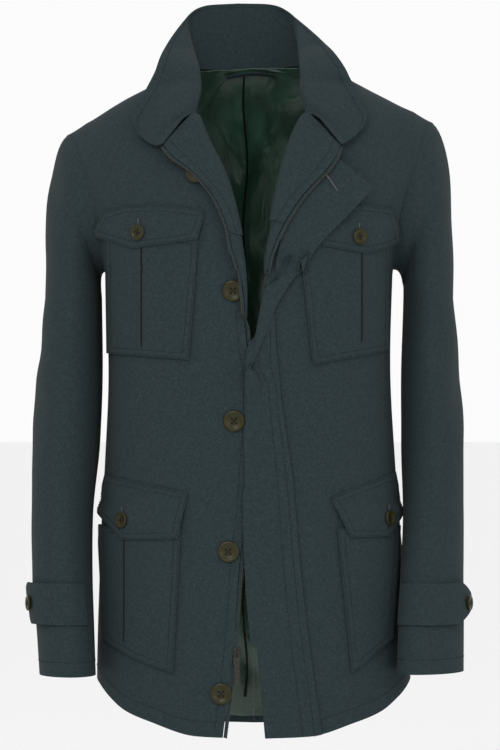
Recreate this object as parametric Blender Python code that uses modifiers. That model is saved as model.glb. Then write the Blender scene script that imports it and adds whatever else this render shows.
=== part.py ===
"""Field jacket, filled out with no wearer: open fronts, turned-out stand collar, four pockets.

Metres, +Z up, -Y is the front.  The origin is the centre of the neck, level with the back neck seam.
"Right" and "left" are the wearer's: the right front is at -X.
The cloth is a family of surfaces worked out from the tables below; every piece that lies on another
is made from the points of the piece under it, moved out along the cloth's own normals.
"""
import math

import bmesh
import bpy
from mathutils import Matrix, Vector

# Driving sizes -----------------------------------------------------------------------------------
CLOTH = 0.0016              # wall of the jacket cloth
LINING = 0.0010             # wall of the satin lining
GAP = 0.0003                # between pieces that touch
SEAM = 0.0002               # each side of a seam is held back by this
ARMPIT_Z = -0.262
TIP_X = 0.2205              # shoulder tip
RIDGE_Z = 0.0451            # the shoulder line is a hyperbola: RIDGE_Z - RIDGE_SLOPE * hypot(x, RIDGE_ROUND)
RIDGE_SLOPE = 0.571
RIDGE_ROUND = 0.060
RIDGE_Y = 0.006
LEAN = 0.035                # the left shoulder hangs this much higher per metre from the centre
SQUARENESS = 2.5            # exponent of the torso's superellipse
YOKE_SQUARENESS = 2.3       # exponent of the curve from chest level over the shoulder
ROLL_RADIUS = 0.0045        # roll of the turned-back fronts
COLLAR_LEAN = 0.17          # the collar's top leans to the wearer's right
FRONT_COLUMNS = 9
BACK_COLUMNS = 8
ARC_STEPS = 3               # facets round the roll
LAPEL_STEPS = 3             # facets from the roll to the zip
FACING_START = 0.014        # the facing goes round the roll only where more than this is turned back
ZIP_REACH = 0.005           # tape and teeth stand this far beyond the front's edge
ZIP_WALL = 0.0012
LOOP_STAND = 0.0034          # the hanger loop hangs this far inside the lining
TAPE_BREAK_Z = -0.262       # the left tape turns over here, so it is two strips
FRONT_BUTTON = 0.0250
POCKET_BUTTON = 0.0190
CUFF_BUTTON = 0.0180
CUFF_BUTTON_STAND = 0.0014

# Torso: half width, depth in front and behind, and sideways shift, at each height
TORSO_COLUMNS = ("z", "half_width", "front", "back", "shift")
TORSO = (
    (-0.830, 0.189, 0.150, 0.150, 0.005),
    (-0.740, 0.187, 0.149, 0.147, 0.004),
    (-0.650, 0.183, 0.146, 0.141, 0.002),
    (-0.560, 0.177, 0.141, 0.131, 0.000),
    (-0.483, 0.172, 0.138, 0.123, 0.000),
    (-0.387, 0.169, 0.140, 0.125, 0.000),
    (-0.262, 0.174, 0.146, 0.138, 0.000),
)

# Above the armpit: half width and where the armholes cut, as a share of it, by angle over the shoulder
YOKE_COLUMNS = ("angle", "half_width", "front_hole", "back_hole")
YOKE = (
    (0.0, 0.1740, 1.000, 1.000),
    (6.0, 0.1815, 0.975, 0.978),
    (13.0, 0.1895, 0.948, 0.956),
    (22.0, 0.1990, 0.926, 0.940),
    (34.0, 0.2095, 0.918, 0.934),
    (52.0, 0.2195, 0.928, 0.942),
    (72.0, 0.2215, 0.960, 0.968),
    (90.0, 0.2205, 1.000, 1.000),
)

# Hem height against the share of the half width
HEM_COLUMNS = ("share", "front", "back")
HEM = (
    (0.00, -0.8035, -0.8115),
    (0.35, -0.8010, -0.8095),
    (0.64, -0.7855, -0.7960),
    (0.80, -0.7745, -0.7800),
    (0.92, -0.7585, -0.7600),
    (1.00, -0.7430, -0.7430),
)

# The front's inner boundary from hem to shoulder: edge, then roll line, then neckline.
# Beyond the roll the turned-back part ends at the zip line, lifted off the chest.
EDGE_COLUMNS = ("roll_x", "roll_z", "zip_x", "zip_z", "turn", "lift")
RIGHT_EDGE = (
    (-0.0319, -0.8030, -0.0319, -0.8030, 0, 0.0000),
    (-0.0197, -0.6990, -0.0197, -0.6990, 0, 0.0000),
    (-0.0128, -0.6040, -0.0128, -0.6040, 0, 0.0000),
    (-0.0047, -0.5320, -0.0047, -0.5320, 0, 0.0000),
    (-0.0023, -0.3868, -0.0023, -0.3868, 0, 0.0000),
    (-0.0044, -0.3400, -0.0044, -0.3400, 0, 0.0000),
    (-0.0060, -0.3050, -0.0056, -0.3050, 130, 0.0065),
    (-0.0070, -0.2800, -0.0080, -0.2800, 170, 0.0085),
    (-0.0110, -0.2420, -0.0165, -0.2420, 178, 0.0100),
    (-0.0220, -0.1870, -0.0350, -0.1850, 180, 0.0110),
    (-0.0330, -0.1487, -0.0620, -0.1490, 180, 0.0125),
    (-0.0525, -0.1066, -0.0870, -0.1290, 180, 0.0130),
    (-0.0640, -0.0800, -0.0960, -0.1180, 180, 0.0130),
)
LEFT_EDGE = (
    (0.0560, -0.8030, 0.0560, -0.8030, 0, 0.0000),
    (0.0500, -0.6990, 0.0500, -0.6990, 0, 0.0000),
    (0.0440, -0.6040, 0.0440, -0.6040, 0, 0.0000),
    (0.0380, -0.5320, 0.0380, -0.5320, 0, 0.0000),
    (0.0280, -0.4300, 0.0280, -0.4300, 0, 0.0000),
    (0.0215, -0.3600, 0.0215, -0.3600, 0, 0.0000),
    (0.0215, -0.2858, 0.0215, -0.2858, 0, 0.0000),
    (0.0205, -0.2680, 0.0205, -0.2680, 0, 0.0000),
    (0.0195, -0.2500, 0.0210, -0.2500, 176, 0.0095),
    (0.0265, -0.2147, 0.0330, -0.2170, 178, 0.0110),
    (0.0350, -0.1702, 0.0560, -0.1780, 180, 0.0120),
    (0.0465, -0.1285, 0.0860, -0.1440, 180, 0.0130),
    (0.0585, -0.0945, 0.0960, -0.1290, 180, 0.0135),
    (0.0660, -0.0800, 0.1000, -0.1180, 180, 0.0135),
)
NECK_POINT = (0.078, -0.0115)

# Placket: its seam, where it bends back on itself and how far, and its free edge
PLACKET_COLUMNS = ("seam_z", "seam_x", "seam_lift", "bend_x", "bend", "edge_x", "edge_z", "edge_lift")
PLACKET = (
    (-0.8020, 0.0836, 0.0009, 0.0500, 0.0, 0.0180, -0.8090, 0.0010),
    (-0.6784, 0.0662, 0.0009, 0.0360, 0.0, 0.0070, -0.6850, 0.0010),
    (-0.6000, 0.0575, 0.0009, 0.0280, 0.0, 0.0010, -0.6020, 0.0010),
    (-0.5008, 0.0489, 0.0009, 0.0220, 0.0, -0.0035, -0.5020, 0.0012),
    (-0.4101, 0.0361, 0.0009, 0.0160, 0.0, -0.0045, -0.4160, 0.0020),
    (-0.3700, 0.0320, 0.0009, -0.0035, 0.8, 0.0000, -0.3760, 0.0105),
    (-0.3287, 0.0290, 0.0010, 0.0040, 1.0, 0.0150, -0.3390, 0.0115),
    (-0.2900, 0.0275, 0.0012, 0.0105, 1.0, 0.0300, -0.3010, 0.0115),
    (-0.2700, 0.0260, 0.0020, 0.0150, 1.0, 0.0400, -0.2830, 0.0115),
    (-0.2500, 0.0290, 0.0080, 0.0300, 0.0, 0.0556, -0.2600, 0.0115),
    (-0.2150, 0.0380, 0.0090, 0.0420, 0.0, 0.0777, -0.2300, 0.0125),
    (-0.1650, 0.0680, 0.0105, 0.0780, 0.0, 0.1172, -0.1870, 0.0130),
    (-0.1270, 0.0960, 0.0110, 0.1080, 0.0, 0.1383, -0.1631, 0.0130),
)
PLACKET_BEND = 0.0045

# Collar, from centre back to the front end: middle and top edge of the stand, for the left side.
# Its seam follows the neckline; past the roll it lies on the turned-back front, at its lift.
COLLAR_COLUMNS = ("along", "mid_x", "mid_y", "mid_z", "top_x", "top_y", "top_z")
COLLAR = (
    (0.00, 0.000, 0.0690, 0.036, 0.000, 0.0720, 0.0720),
    (0.15, 0.037, 0.0590, 0.034, 0.034, 0.0640, 0.0700),
    (0.32, 0.063, 0.0360, 0.028, 0.060, 0.0410, 0.0560),
    (0.46, 0.063, -0.0040, 0.018, 0.084, 0.0080, 0.0300),
    (0.60, 0.063, -0.0340, -0.004, 0.103, -0.0240, 0.0020),
    (0.74, 0.064, -0.0640, -0.038, 0.119, -0.0560, -0.0320),
    (0.86, 0.088, -0.0950, -0.072, 0.131, -0.0870, -0.0600),
    (0.93, 0.110, -0.1050, -0.090, 0.137, -0.0980, -0.0790),
    (1.00, 0.117, -0.1180, -0.108, 0.132, -0.1080, -0.0940),
)
COLLAR_NECK = 0.42          # share of its length where the collar passes the shoulder seam
COLLAR_ROLL = 0.82          # and where its seam crosses the roll
COLLAR_LIFT = 0.0165
BACK_NECK_LEVEL = 1.76

# Sleeves: centre, half width, half depth and turn of the section at each height
SLEEVE_COLUMNS = ("z", "x", "y", "half_width", "half_depth", "turn")
RIGHT_SLEEVE = (
    (-0.290, -0.2116, 0.004, 0.0340, 0.073, 0.0),
    (-0.387, -0.2165, 0.002, 0.0380, 0.068, 0.0),
    (-0.459, -0.2212, -0.007, 0.0400, 0.063, 0.0),
    (-0.547, -0.2236, -0.029, 0.0364, 0.059, 3.0),
    (-0.626, -0.2215, -0.050, 0.0363, 0.057, 5.0),
    (-0.674, -0.2180, -0.062, 0.0350, 0.056, 6.0),
    (-0.734, -0.2145, -0.075, 0.0335, 0.055, 7.0),
)
LEFT_SLEEVE = (
    (-0.290, 0.2135, 0.004, 0.0320, 0.073, 0.0),
    (-0.387, 0.2170, 0.002, 0.0360, 0.068, 0.0),
    (-0.459, 0.2195, -0.007, 0.0368, 0.063, 0.0),
    (-0.547, 0.2195, -0.032, 0.0345, 0.059, 10.0),
    (-0.626, 0.2165, -0.060, 0.0338, 0.057, 20.0),
    (-0.674, 0.2145, -0.076, 0.0335, 0.056, 26.0),
    (-0.730, 0.2120, -0.092, 0.0335, 0.055, 32.0),
)
SLEEVE_RING = 18
CAP_ROWS = 4
UNDER_SLEEVE = 0.28         # share of the ring that the under sleeve takes

# Pockets in front elevation: corners of patch and flap, and the button
CHEST_RIGHT = {
    "patch": ((-0.0595, -0.222), (-0.0705, -0.363), (-0.1670, -0.355), (-0.1690, -0.213)),
    "flap": ((-0.0515, -0.190), (-0.0600, -0.2235), (-0.1330, -0.2325), (-0.1815, -0.215), (-0.1730, -0.190),
             (-0.1450, -0.183), (-0.1000, -0.183)),
    "hinge_z": -0.196,
    "button": (-0.1275, -0.214),
}
CHEST_LEFT = {
    "patch": ((0.0560, -0.222), (0.0725, -0.369), (0.1640, -0.351), (0.1685, -0.213)),
    "flap": ((0.0600, -0.184), (0.0740, -0.229), (0.1290, -0.238), (0.1530, -0.233), (0.1790, -0.224),
             (0.1720, -0.185), (0.1370, -0.182)),
    "hinge_z": -0.196,
    "button": (0.1240, -0.219),
}
HIP_RIGHT = {
    "patch": ((-0.0795, -0.560), (-0.0880, -0.728), (-0.1385, -0.711), (-0.1735, -0.694), (-0.1790, -0.560)),
    "flap": ((-0.0710, -0.5185), (-0.0825, -0.572), (-0.1475, -0.5745), (-0.1810, -0.541), (-0.1700, -0.500)),
    "hinge_z": -0.530,
    "button": (-0.1460, -0.552),
}
HIP_LEFT = {
    "patch": ((0.1020, -0.560), (0.1170, -0.729), (0.1660, -0.691), (0.1740, -0.560)),
    "flap": ((0.0940, -0.524), (0.1160, -0.571), (0.1580, -0.571), (0.1795, -0.541), (0.1700, -0.496)),
    "hinge_z": -0.532,
    "button": (0.1570, -0.550),
}
FRONT_BUTTONS = ((-0.0197, -0.2830), (-0.0186, -0.4345), (-0.0250, -0.5867), (-0.0335, -0.7512))
TOP_BUTTON = (-0.0660, -0.1455)
TAB_TOP_Z = -0.626
TAB_BOTTOM_Z = -0.674


def column(table, names, name):
    """One named column of a table."""
    index = names.index(name)
    return [row[index] for row in table]


def smooth(keys, values, key):
    """Monotone cubic through a table's column, so that no bump appears between its rows."""
    if keys[0] > keys[-1]:
        keys = keys[::-1]
        values = values[::-1]
    if key <= keys[0]:
        return values[0]
    if key >= keys[-1]:
        return values[-1]
    spans = [b - a for a, b in zip(keys, keys[1:])]
    slopes = [(b - a) / h for a, b, h in zip(values, values[1:], spans)]
    tangents = [slopes[0]]
    for a, b in zip(slopes, slopes[1:]):
        tangents.append(2 * a * b / (a + b) if a * b > 0 else 0.0)
    tangents.append(slopes[-1])
    i = max(n for n in range(len(spans)) if keys[n] <= key)
    h = spans[i]
    t = (key - keys[i]) / h
    return ((1 + 2 * t) * (1 - t) ** 2 * values[i] + t * (1 - t) ** 2 * h * tangents[i]
            + t * t * (3 - 2 * t) * values[i + 1] + t * t * (t - 1) * h * tangents[i + 1])


def read(table, names, key, name):
    """A table's column at a value of its first column."""
    return smooth(column(table, names, names[0]), column(table, names, name), key)


def ridge_z(x):
    """Height of the shoulder line."""
    return RIDGE_Z - RIDGE_SLOPE * math.hypot(x, RIDGE_ROUND)


def torso_point(turn, level, side, face):
    """Point of the torso: turn 0 at the centre to 1 at the side, level 0 hem, 1 armpit, 2 shoulder.

    side is -1 for the wearer's right and 1 for the left, face is "front" or "back".
    """
    front = face == "front"
    outward = -1 if front else 1
    swing = min(max(turn, -0.4), 1.0) * math.pi / 2
    share = math.copysign(abs(math.sin(swing)) ** (2 / SQUARENESS), swing)
    bow = abs(math.cos(swing)) ** (2 / SQUARENESS)
    if level <= 1:
        hem = read(HEM, HEM_COLUMNS, abs(share), face)
        z = hem + (ARMPIT_Z - hem) * level
        half_width = read(TORSO, TORSO_COLUMNS, z, "half_width")
        x = side * share * half_width + read(TORSO, TORSO_COLUMNS, z, "shift")
        return Vector((x, outward * bow * read(TORSO, TORSO_COLUMNS, z, face), z))
    angle = (level - 1) * 90
    rise = math.sin(math.radians(angle)) ** (2 / YOKE_SQUARENESS)
    fall = abs(math.cos(math.radians(angle))) ** (2 / YOKE_SQUARENESS)
    x = side * share * read(YOKE, YOKE_COLUMNS, angle, "half_width")
    z = ARMPIT_Z + (ridge_z(x) - ARMPIT_Z) * rise
    depth = TORSO[-1][TORSO_COLUMNS.index(face)]
    return Vector((x, RIDGE_Y * (1 - fall) + outward * bow * depth * fall, z + LEAN * x * rise))


def normal_of(surface, u, v):
    """Unit normal of a surface of two parameters, by differences."""
    step = 0.002
    across = surface(u + step, v) - surface(u - step, v)
    up = surface(u, v + step) - surface(u, v - step)
    return across.cross(up).normalized()


def torso_pair(turn, level, side, face):
    """Torso point with its outward normal; both halves agree at their seams."""
    inner_turn = min(turn, 0.996)
    inner_level = min(max(level, 0.004), 1.994)
    normal = normal_of(lambda a, b: torso_point(a, b, side, face), inner_turn, inner_level)
    place = torso_point(turn, level, side, face)
    if normal.dot(Vector((place.x, place.y, max(0.0, place.z - ARMPIT_Z)))) < 0:
        normal.negate()
    if turn > 0.97 or level > 1.97:
        normal.y = 0
        normal.normalize()
    return place, normal


def find_level(x, z, side, face="front"):
    """Turn and level of the torso point seen at x, z from the front."""
    turn = 0.3
    level = 1.0
    for _ in range(60):
        point = torso_point(turn, level, side, face)
        level += (z - point.z) * (1.9 if level < 1 else 4.0)
        level = min(max(level, 0.0), 1.999)
        turn += (x - point.x) * side * 3.2
        turn = min(max(turn, -0.4), 0.999)
    return turn, level


def over_torso(x, z, side, lift):
    """Point held off the chest by a lift, and the chest's normal there."""
    turn, level = find_level(x, z, side)
    point, normal = torso_pair(turn, level, side, "front")
    return point + normal * lift, normal


def edge_rows(side):
    """The front's levels, with the turn of the inner boundary and the row of the edge table at each."""
    table = RIGHT_EDGE if side < 0 else LEFT_EDGE
    rows = []
    for row in table:
        turn, level = find_level(row[0], row[1], side)
        rows.append((level, turn) + row)
    return rows


EDGE_ROWS = {side: edge_rows(side) for side in (-1, 1)}
EDGE_ROW_COLUMNS = ("level", "inner") + EDGE_COLUMNS


def front_levels(side):
    """Rows of the front from hem to shoulder."""
    top = EDGE_ROWS[side][-1][0]
    lower = [0.0, 0.08, 0.20, 0.33, 0.46, 0.58, 0.70, 0.79, 0.86, 0.93, 0.97, 1.0]
    upper = [1.06, 1.13, 1.21, 1.3, 1.4]
    steps = [top + (2.0 - top) * n / 3 for n in range(4)]
    return lower + upper + steps


def inner_turn(level, side):
    """Where the front begins at a level: its edge, the roll or the neckline."""
    rows = EDGE_ROWS[side]
    top = rows[-1][0]
    if level <= top:
        return smooth([r[0] for r in rows], [r[1] for r in rows], level)
    share = (level - top) / (2.0 - top)
    return rows[-1][1] * (1 - share) + neck_turn() * share


def outer_turn(level, face):
    """Where a panel ends: the side seam, and above it the armhole."""
    if level <= 1:
        return 1.0
    share = read(YOKE, YOKE_COLUMNS, (level - 1) * 90, face + "_hole")
    return math.asin(min(share, 1.0) ** (SQUARENESS / 2)) / (math.pi / 2)


def seam_back(pair, level, face, at_side):
    """Holds a panel's boundary back from the seam beside it."""
    point, normal = pair
    outward = -1 if face == "front" else 1
    if at_side and level <= 1.0 or level >= 2.0:
        point = point + Vector((0, outward * SEAM, 0))
    return point, normal


def panel_grid(side, face, levels, begin, columns):
    """Rows of (point, normal) from the inner boundary to the side or armhole."""
    grid = []
    for level in levels:
        first = begin(level)
        last = outer_turn(level, face)
        row = []
        for j in range(columns + 1):
            turn = first + (last - first) * j / columns
            row.append(seam_back(torso_pair(turn, level, side, face), level, face, j == columns))
        grid.append(row)
    return grid


def lapel_row(side, level, roll):
    """The turned-back part of one row: round the roll, then out to the zip line."""
    rows = EDGE_ROWS[side]
    keys = [r[0] for r in rows]
    value = {name: smooth(keys, [r[i] for r in rows], level) for i, name in enumerate(EDGE_ROW_COLUMNS)}
    start, normal = roll
    end, end_normal = over_torso(value["zip_x"], value["zip_z"], side, value["lift"])
    turn = math.radians(value["turn"])
    flat = end - start
    length = flat.length
    if length < 0.0012 or turn < 0.05:
        return [(start, normal)] * (ARC_STEPS + LAPEL_STEPS + 1)
    inward = Vector((-side, 0, 0))
    inward = (inward - normal * inward.dot(normal)).normalized()
    radius = min(ROLL_RADIUS, length * 0.42)
    row = []
    for n in range(ARC_STEPS + 1):
        angle = turn * n / ARC_STEPS
        point = start + inward * (radius * math.sin(angle)) + normal * (radius * (1 - math.cos(angle)))
        row.append((point, (normal * math.cos(angle) - inward * math.sin(angle)).normalized()))
    leave = row[-1][0]
    heading = (inward * math.cos(turn) + normal * math.sin(turn))
    reach = (end - leave).length
    last_normal = row[-1][1]
    for n in range(1, LAPEL_STEPS + 1):
        t = n / LAPEL_STEPS
        straight = leave.lerp(end, t)
        bow = heading * (0.2 * reach * t * (1 - t) ** 2)
        point = straight + bow
        row.append((point, last_normal.lerp(-end_normal if turn > 2 else last_normal, t).normalized()))
    return row


class Cloth:
    """A piece of cloth as triangles of (point, normal) corners, before it gets its wall."""

    def __init__(self):
        self.triangles = []

    def add(self, grid, flip=False):
        for low, high in zip(grid, grid[1:]):
            for a, b, c, d in zip(low, low[1:], high[1:], high):
                for corners in ((a, b, c), (a, c, d)):
                    area = (corners[1][0] - corners[0][0]).cross(corners[2][0] - corners[0][0]).length
                    if area > 1e-10:
                        self.triangles.append(corners[::-1] if flip else corners)
        return self

    def cut(self, corners):
        """The part of the cloth inside a convex outline of x, z corners, seen from the front."""
        centre_x = sum(c[0] for c in corners) / len(corners)
        centre_z = sum(c[1] for c in corners) / len(corners)
        lines = []
        for (ax, az), (bx, bz) in zip(corners, corners[1:] + corners[:1]):
            nx, nz = bz - az, ax - bx
            if nx * (centre_x - ax) + nz * (centre_z - az) < 0:
                nx, nz = -nx, -nz
            lines.append((nx, nz, nx * ax + nz * az))
        piece = Cloth()
        for triangle in self.triangles:
            polygon = list(triangle)
            for nx, nz, limit in lines:
                polygon = clip(polygon, nx, nz, limit)
                if len(polygon) < 3:
                    break
            for b, c in zip(polygon[1:], polygon[2:]):
                piece.triangles.append((polygon[0], b, c))
        return piece

    def split(self, z):
        """Adds an edge right across the cloth at one height."""
        piece = Cloth()
        for triangle in self.triangles:
            for sign in (1, -1):
                polygon = clip(list(triangle), 0, sign, sign * z)
                for b, c in zip(polygon[1:], polygon[2:]):
                    piece.triangles.append((polygon[0], b, c))
        return piece


def clip(polygon, nx, nz, limit):
    """Keeps the part of a polygon of (point, normal) corners on one side of a line."""
    kept = []
    for a, b in zip(polygon, polygon[1:] + polygon[:1]):
        inside_a = nx * a[0].x + nz * a[0].z - limit
        inside_b = nx * b[0].x + nz * b[0].z - limit
        if inside_a >= 0:
            kept.append(a)
        if inside_a * inside_b < 0:
            t = inside_a / (inside_a - inside_b)
            kept.append((a[0].lerp(b[0], t), a[1].lerp(b[1], t)))
    return kept


def material(name, colour, roughness, metallic=0.0):
    """Principled material of one finish."""
    found = bpy.data.materials.get(name)
    if found:
        return found
    made = bpy.data.materials.new(name)
    made.use_nodes = True
    shader = made.node_tree.nodes["Principled BSDF"]
    shader.inputs["Base Color"].default_value = colour + (1.0,)
    shader.inputs["Roughness"].default_value = roughness
    shader.inputs["Metallic"].default_value = metallic
    return made


def link(name, mesh, finish):
    """New object of the jacket's collection."""
    obj = bpy.data.objects.new(name, mesh)
    obj.data.materials.append(finish)
    bpy.data.collections["field_jacket"].objects.link(obj)
    return obj


def wall(name, cloth, low, high, finish):
    """Closed wall from one offset of the cloth to another; offsets are lengths or functions of a point."""
    bm = bmesh.new()
    layers = ({}, {})

    def vertex(corner, layer):
        point, normal = corner
        key = tuple(round(c * 2e6) for c in point)
        if key not in layers[layer]:
            offset = (low, high)[layer]
            if callable(offset):
                offset = offset(point)
            layers[layer][key] = bm.verts.new(point + normal * offset)
        return layers[layer][key]

    edges = {}
    for triangle in cloth.triangles:
        outer = [vertex(c, 1) for c in triangle]
        inner = [vertex(c, 0) for c in triangle]
        if len(set(outer)) < 3:
            continue
        bm.faces.new(outer)
        bm.faces.new(inner[::-1])
        for k in range(3):
            pair = (outer[k], outer[(k + 1) % 3])
            edges[pair] = (inner[k], inner[(k + 1) % 3])
    for (a, b), (c, d) in edges.items():
        if (b, a) not in edges:
            bm.faces.new((b, a, c))
            bm.faces.new((b, c, d))
    bmesh.ops.remove_doubles(bm, verts=bm.verts, dist=1e-6)
    bmesh.ops.dissolve_degenerate(bm, edges=bm.edges, dist=1e-6)
    bmesh.ops.recalc_face_normals(bm, faces=bm.faces)
    mesh = bpy.data.meshes.new(name)
    bm.to_mesh(mesh)
    bm.free()
    mesh.shade_smooth()
    return link(name, mesh, finish)


def build_fronts(cloth_finish):
    """Fronts with their turned-back parts, the facings inside them, and the zip tapes at their edges."""
    fronts = {}
    for side, name in ((-1, "right"), (1, "left")):
        levels = front_levels(side)
        body = panel_grid(side, "front", levels, lambda v: inner_turn(v, side), FRONT_COLUMNS)
        top = EDGE_ROWS[side][-1][0]
        lapel = [lapel_row(side, v, row[0]) for v, row in zip(levels, body) if v <= top + 1e-6]
        flip = side > 0
        cloth = Cloth().add(body, flip)
        turned = Cloth().add(lapel, not flip)
        fronts[side] = (levels, body, lapel)
        whole = Cloth()
        whole.triangles = cloth.triangles + turned.triangles
        wall("front_" + name, whole, -CLOTH, 0.0, cloth_finish)
        facing = Cloth().add([row[:3] for row in body[:len(lapel)]], flip)
        wide = [row for row in lapel if (row[-1][0] - row[0][0]).length > FACING_START]
        facing.triangles += Cloth().add(wide, not flip).triangles
        wall("facing_" + name, facing, -2 * CLOTH - GAP, -CLOTH - GAP, cloth_finish)
        fronts[side] += (cloth,)
    return fronts


def edge_run(fronts, side):
    """Along the zip line, from hem to collar: edge point, normal, and direction beyond the edge."""
    levels, body, lapel = fronts[side][:3]
    run = []
    for row, turned in zip(body, lapel):
        point, normal = turned[-1]
        before = turned[-2][0] if (turned[-1][0] - turned[-2][0]).length > 1e-4 else row[1][0]
        beyond = (point - before).normalized()
        beyond = (beyond - normal * beyond.dot(normal)).normalized()
        run.append((point, normal, beyond))
    return run


def placket_point(row, across):
    """Point of the placket: row is the seam's height, across 0 seam, 1 free edge."""
    value = {name: read(PLACKET, PLACKET_COLUMNS, row, name) for name in PLACKET_COLUMNS[1:]}
    bend = value["bend"]
    start = (value["seam_x"], row, value["seam_lift"])
    end = (value["edge_x"], value["edge_z"], value["edge_lift"])
    path = [start]
    for share, dx, lift in ((0.40, 2, 0.0), (0.55, 1, 0.0), (0.62, 0.0, 1.0), (0.70, 1, 2.0)):
        flat = [a + (b - a) * share for a, b in zip(start, end)]
        bent = (value["bend_x"] + dx * PLACKET_BEND, flat[1], value["seam_lift"] + lift * PLACKET_BEND)
        path.append(tuple(a + (b - a) * bend for a, b in zip(flat, bent)))
    path.append(tuple((a + b) / 2 for a, b in zip(path[-1], end)))
    path.append(end)
    step = min(int(across * (len(path) - 1)), len(path) - 2)
    t = across * (len(path) - 1) - step
    x, z, lift = (a + (b - a) * t for a, b in zip(path[step], path[step + 1]))
    return over_torso(x, z, 1, lift)[0]


def build_placket(finish):
    """Fly placket of the left front, seamed beside the zip; above the break it is turned back on itself."""
    columns = 6
    heights = []
    rows = column(PLACKET, PLACKET_COLUMNS, "seam_z")
    for low, high in zip(rows, rows[1:]):
        parts = max(1, round((high - low) / 0.045))
        heights += [low + (high - low) * n / parts for n in range(parts)]
    heights.append(rows[-1])
    grid = [[placket_point(z, k / columns) for k in range(columns + 1)] for z in heights]
    pairs = []
    for i, row in enumerate(grid):
        line = []
        for k, point in enumerate(row):
            up = grid[min(i + 1, len(grid) - 1)][k] - grid[max(i - 1, 0)][k]
            across = row[min(k + 1, columns)] - row[max(k - 1, 0)]
            line.append((point, up.cross(across).normalized()))
        pairs.append(line)
    wall("placket", Cloth().add(pairs), 0.0, 1.5 * CLOTH, finish)


def build_tapes(fronts, finish):
    """Zip tape with its teeth along each front's edge, as one flat strip."""
    for side, name in ((-1, "right"), (1, "left")):
        grid = []
        for point, normal, beyond in edge_run(fronts, side):
            centre = point - normal * (CLOTH + GAP / 2)
            grid.append([(centre + beyond * (3 * GAP), normal), (centre + beyond * ZIP_REACH, normal)])
        lower = [row for row in grid if row[0][0].z < TAPE_BREAK_Z]
        upper = [row for row in grid if row[0][0].z > TAPE_BREAK_Z]
        if side < 0:
            upper = grid
        else:
            wall("zip_tape_left_low", Cloth().add(lower), -ZIP_WALL / 2, ZIP_WALL / 2, finish)
        wall("zip_tape_" + name, Cloth().add(upper), -ZIP_WALL / 2, ZIP_WALL / 2, finish)


def neck_turn():
    """Turn of the point where neckline and shoulder seam meet."""
    half = read(YOKE, YOKE_COLUMNS, 90.0, "half_width")
    return math.asin((NECK_POINT[0] / half) ** (SQUARENESS / 2)) / (math.pi / 2)


def back_neck_turn(level):
    """Where the back begins at a level: the centre, then the back neckline."""
    open_from = max(0.0, (level - BACK_NECK_LEVEL) / (2.0 - BACK_NECK_LEVEL))
    return neck_turn() * math.sqrt(open_from)


def build_backs(cloth_finish, lining_finish):
    """Two back panels that meet at the centre-back seam, and the lining inside them."""
    levels = [0.0, 0.08, 0.22, 0.36, 0.50, 0.64, 0.78, 0.90, 1.0]
    levels += [1.06, 1.14, 1.26, 1.42, 1.60, BACK_NECK_LEVEL, 1.84, 1.92, 2.0]
    backs = {}
    for side, name in ((-1, "right"), (1, "left")):
        rows = []
        for level in levels:
            first = back_neck_turn(level)
            last = outer_turn(level, "back")
            row = []
            for j in range(BACK_COLUMNS + 1):
                pair = torso_pair(first + (last - first) * j / BACK_COLUMNS, level, side, "back")
                point, normal = seam_back(pair, level, "back", j == BACK_COLUMNS)
                if j == 0 and first == 0.0:
                    point.x += side * SEAM
                    normal = Vector((0, normal.y, normal.z)).normalized()
                row.append((point, normal))
            rows.append(row)
        backs[side] = rows
        cloth = Cloth().add(rows, side < 0)
        wall("back_" + name, cloth, -CLOTH, 0.0, cloth_finish)
    inside = Cloth()
    for side, rows in backs.items():
        inside.add([row[:-1] for row in rows[1:]], side < 0)
    centre = [[right[0], left[0]] for right, left in zip(backs[-1][1:], backs[1][1:])]
    inside.add([pair for pair in centre if abs(pair[1][0].x) < 0.001])
    wall("lining_back", inside, -CLOTH - GAP - LINING, -CLOTH - GAP, lining_finish)
    return backs


def neckline_point(along, side):
    """Where the collar is sewn on: back neckline, front neckline, then along the turned-back front."""
    if along <= COLLAR_NECK:
        level = BACK_NECK_LEVEL + (2.0 - BACK_NECK_LEVEL) * (along / COLLAR_NECK) ** 2
        point, normal = torso_pair(back_neck_turn(level), level, side, "back")
        return point + Vector((0, 0, 2 * GAP))
    top = EDGE_ROWS[side][-1][0]
    if along <= COLLAR_ROLL:
        share = (along - COLLAR_NECK) / (COLLAR_ROLL - COLLAR_NECK)
        level = 2.0 - (2.0 - top) * share
        point, normal = torso_pair(inner_turn(level, side), level, side, "front")
        return point + Vector((-side * 0.0010, 0, 0.0012 + 0.0035 * share ** 3))
    edge = EDGE_ROWS[side][-1]
    share = (along - COLLAR_ROLL) / (1 - COLLAR_ROLL)
    x = edge[2] + (edge[4] - edge[2]) * share
    z = edge[3] + (edge[5] - edge[3]) * share
    lift = COLLAR_LIFT * min(1.0, share * 4)
    return over_torso(x, z, side, lift)[0] + Vector((side * 0.0032, 0, 0.0047 - 0.0016 * share))


def collar_point(along, across, side):
    """Point of the collar: along 0 centre back to 1 front end, across 0 seam to 1 top edge."""
    value = [smooth(column(COLLAR, COLLAR_COLUMNS, "along"), column(COLLAR, COLLAR_COLUMNS, name), along)
             for name in COLLAR_COLUMNS[1:]]
    middle, top = Vector(value[:3]), Vector(value[3:])
    for point in (middle, top):
        point.x *= side
        point.z += LEAN * point.x * 0.5
        point.x -= COLLAR_LEAN * max(0.0, point.z + 0.02)
    seam = neckline_point(along, side)
    control = middle * 2 - (seam + top) / 2
    point = seam * (1 - across) ** 2 + control * (2 * across * (1 - across)) + top * across ** 2
    settle = min(max((along - 0.55) / 0.2, 0.0), 1.0) * min(across * 2.5, 1.0)
    if settle > 0:
        rest = over_torso(point.x, min(point.z, -0.035), side, COLLAR_LIFT)[0]
        point.y = min(point.y, point.y + (rest.y - point.y) * settle)
    return point


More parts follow.
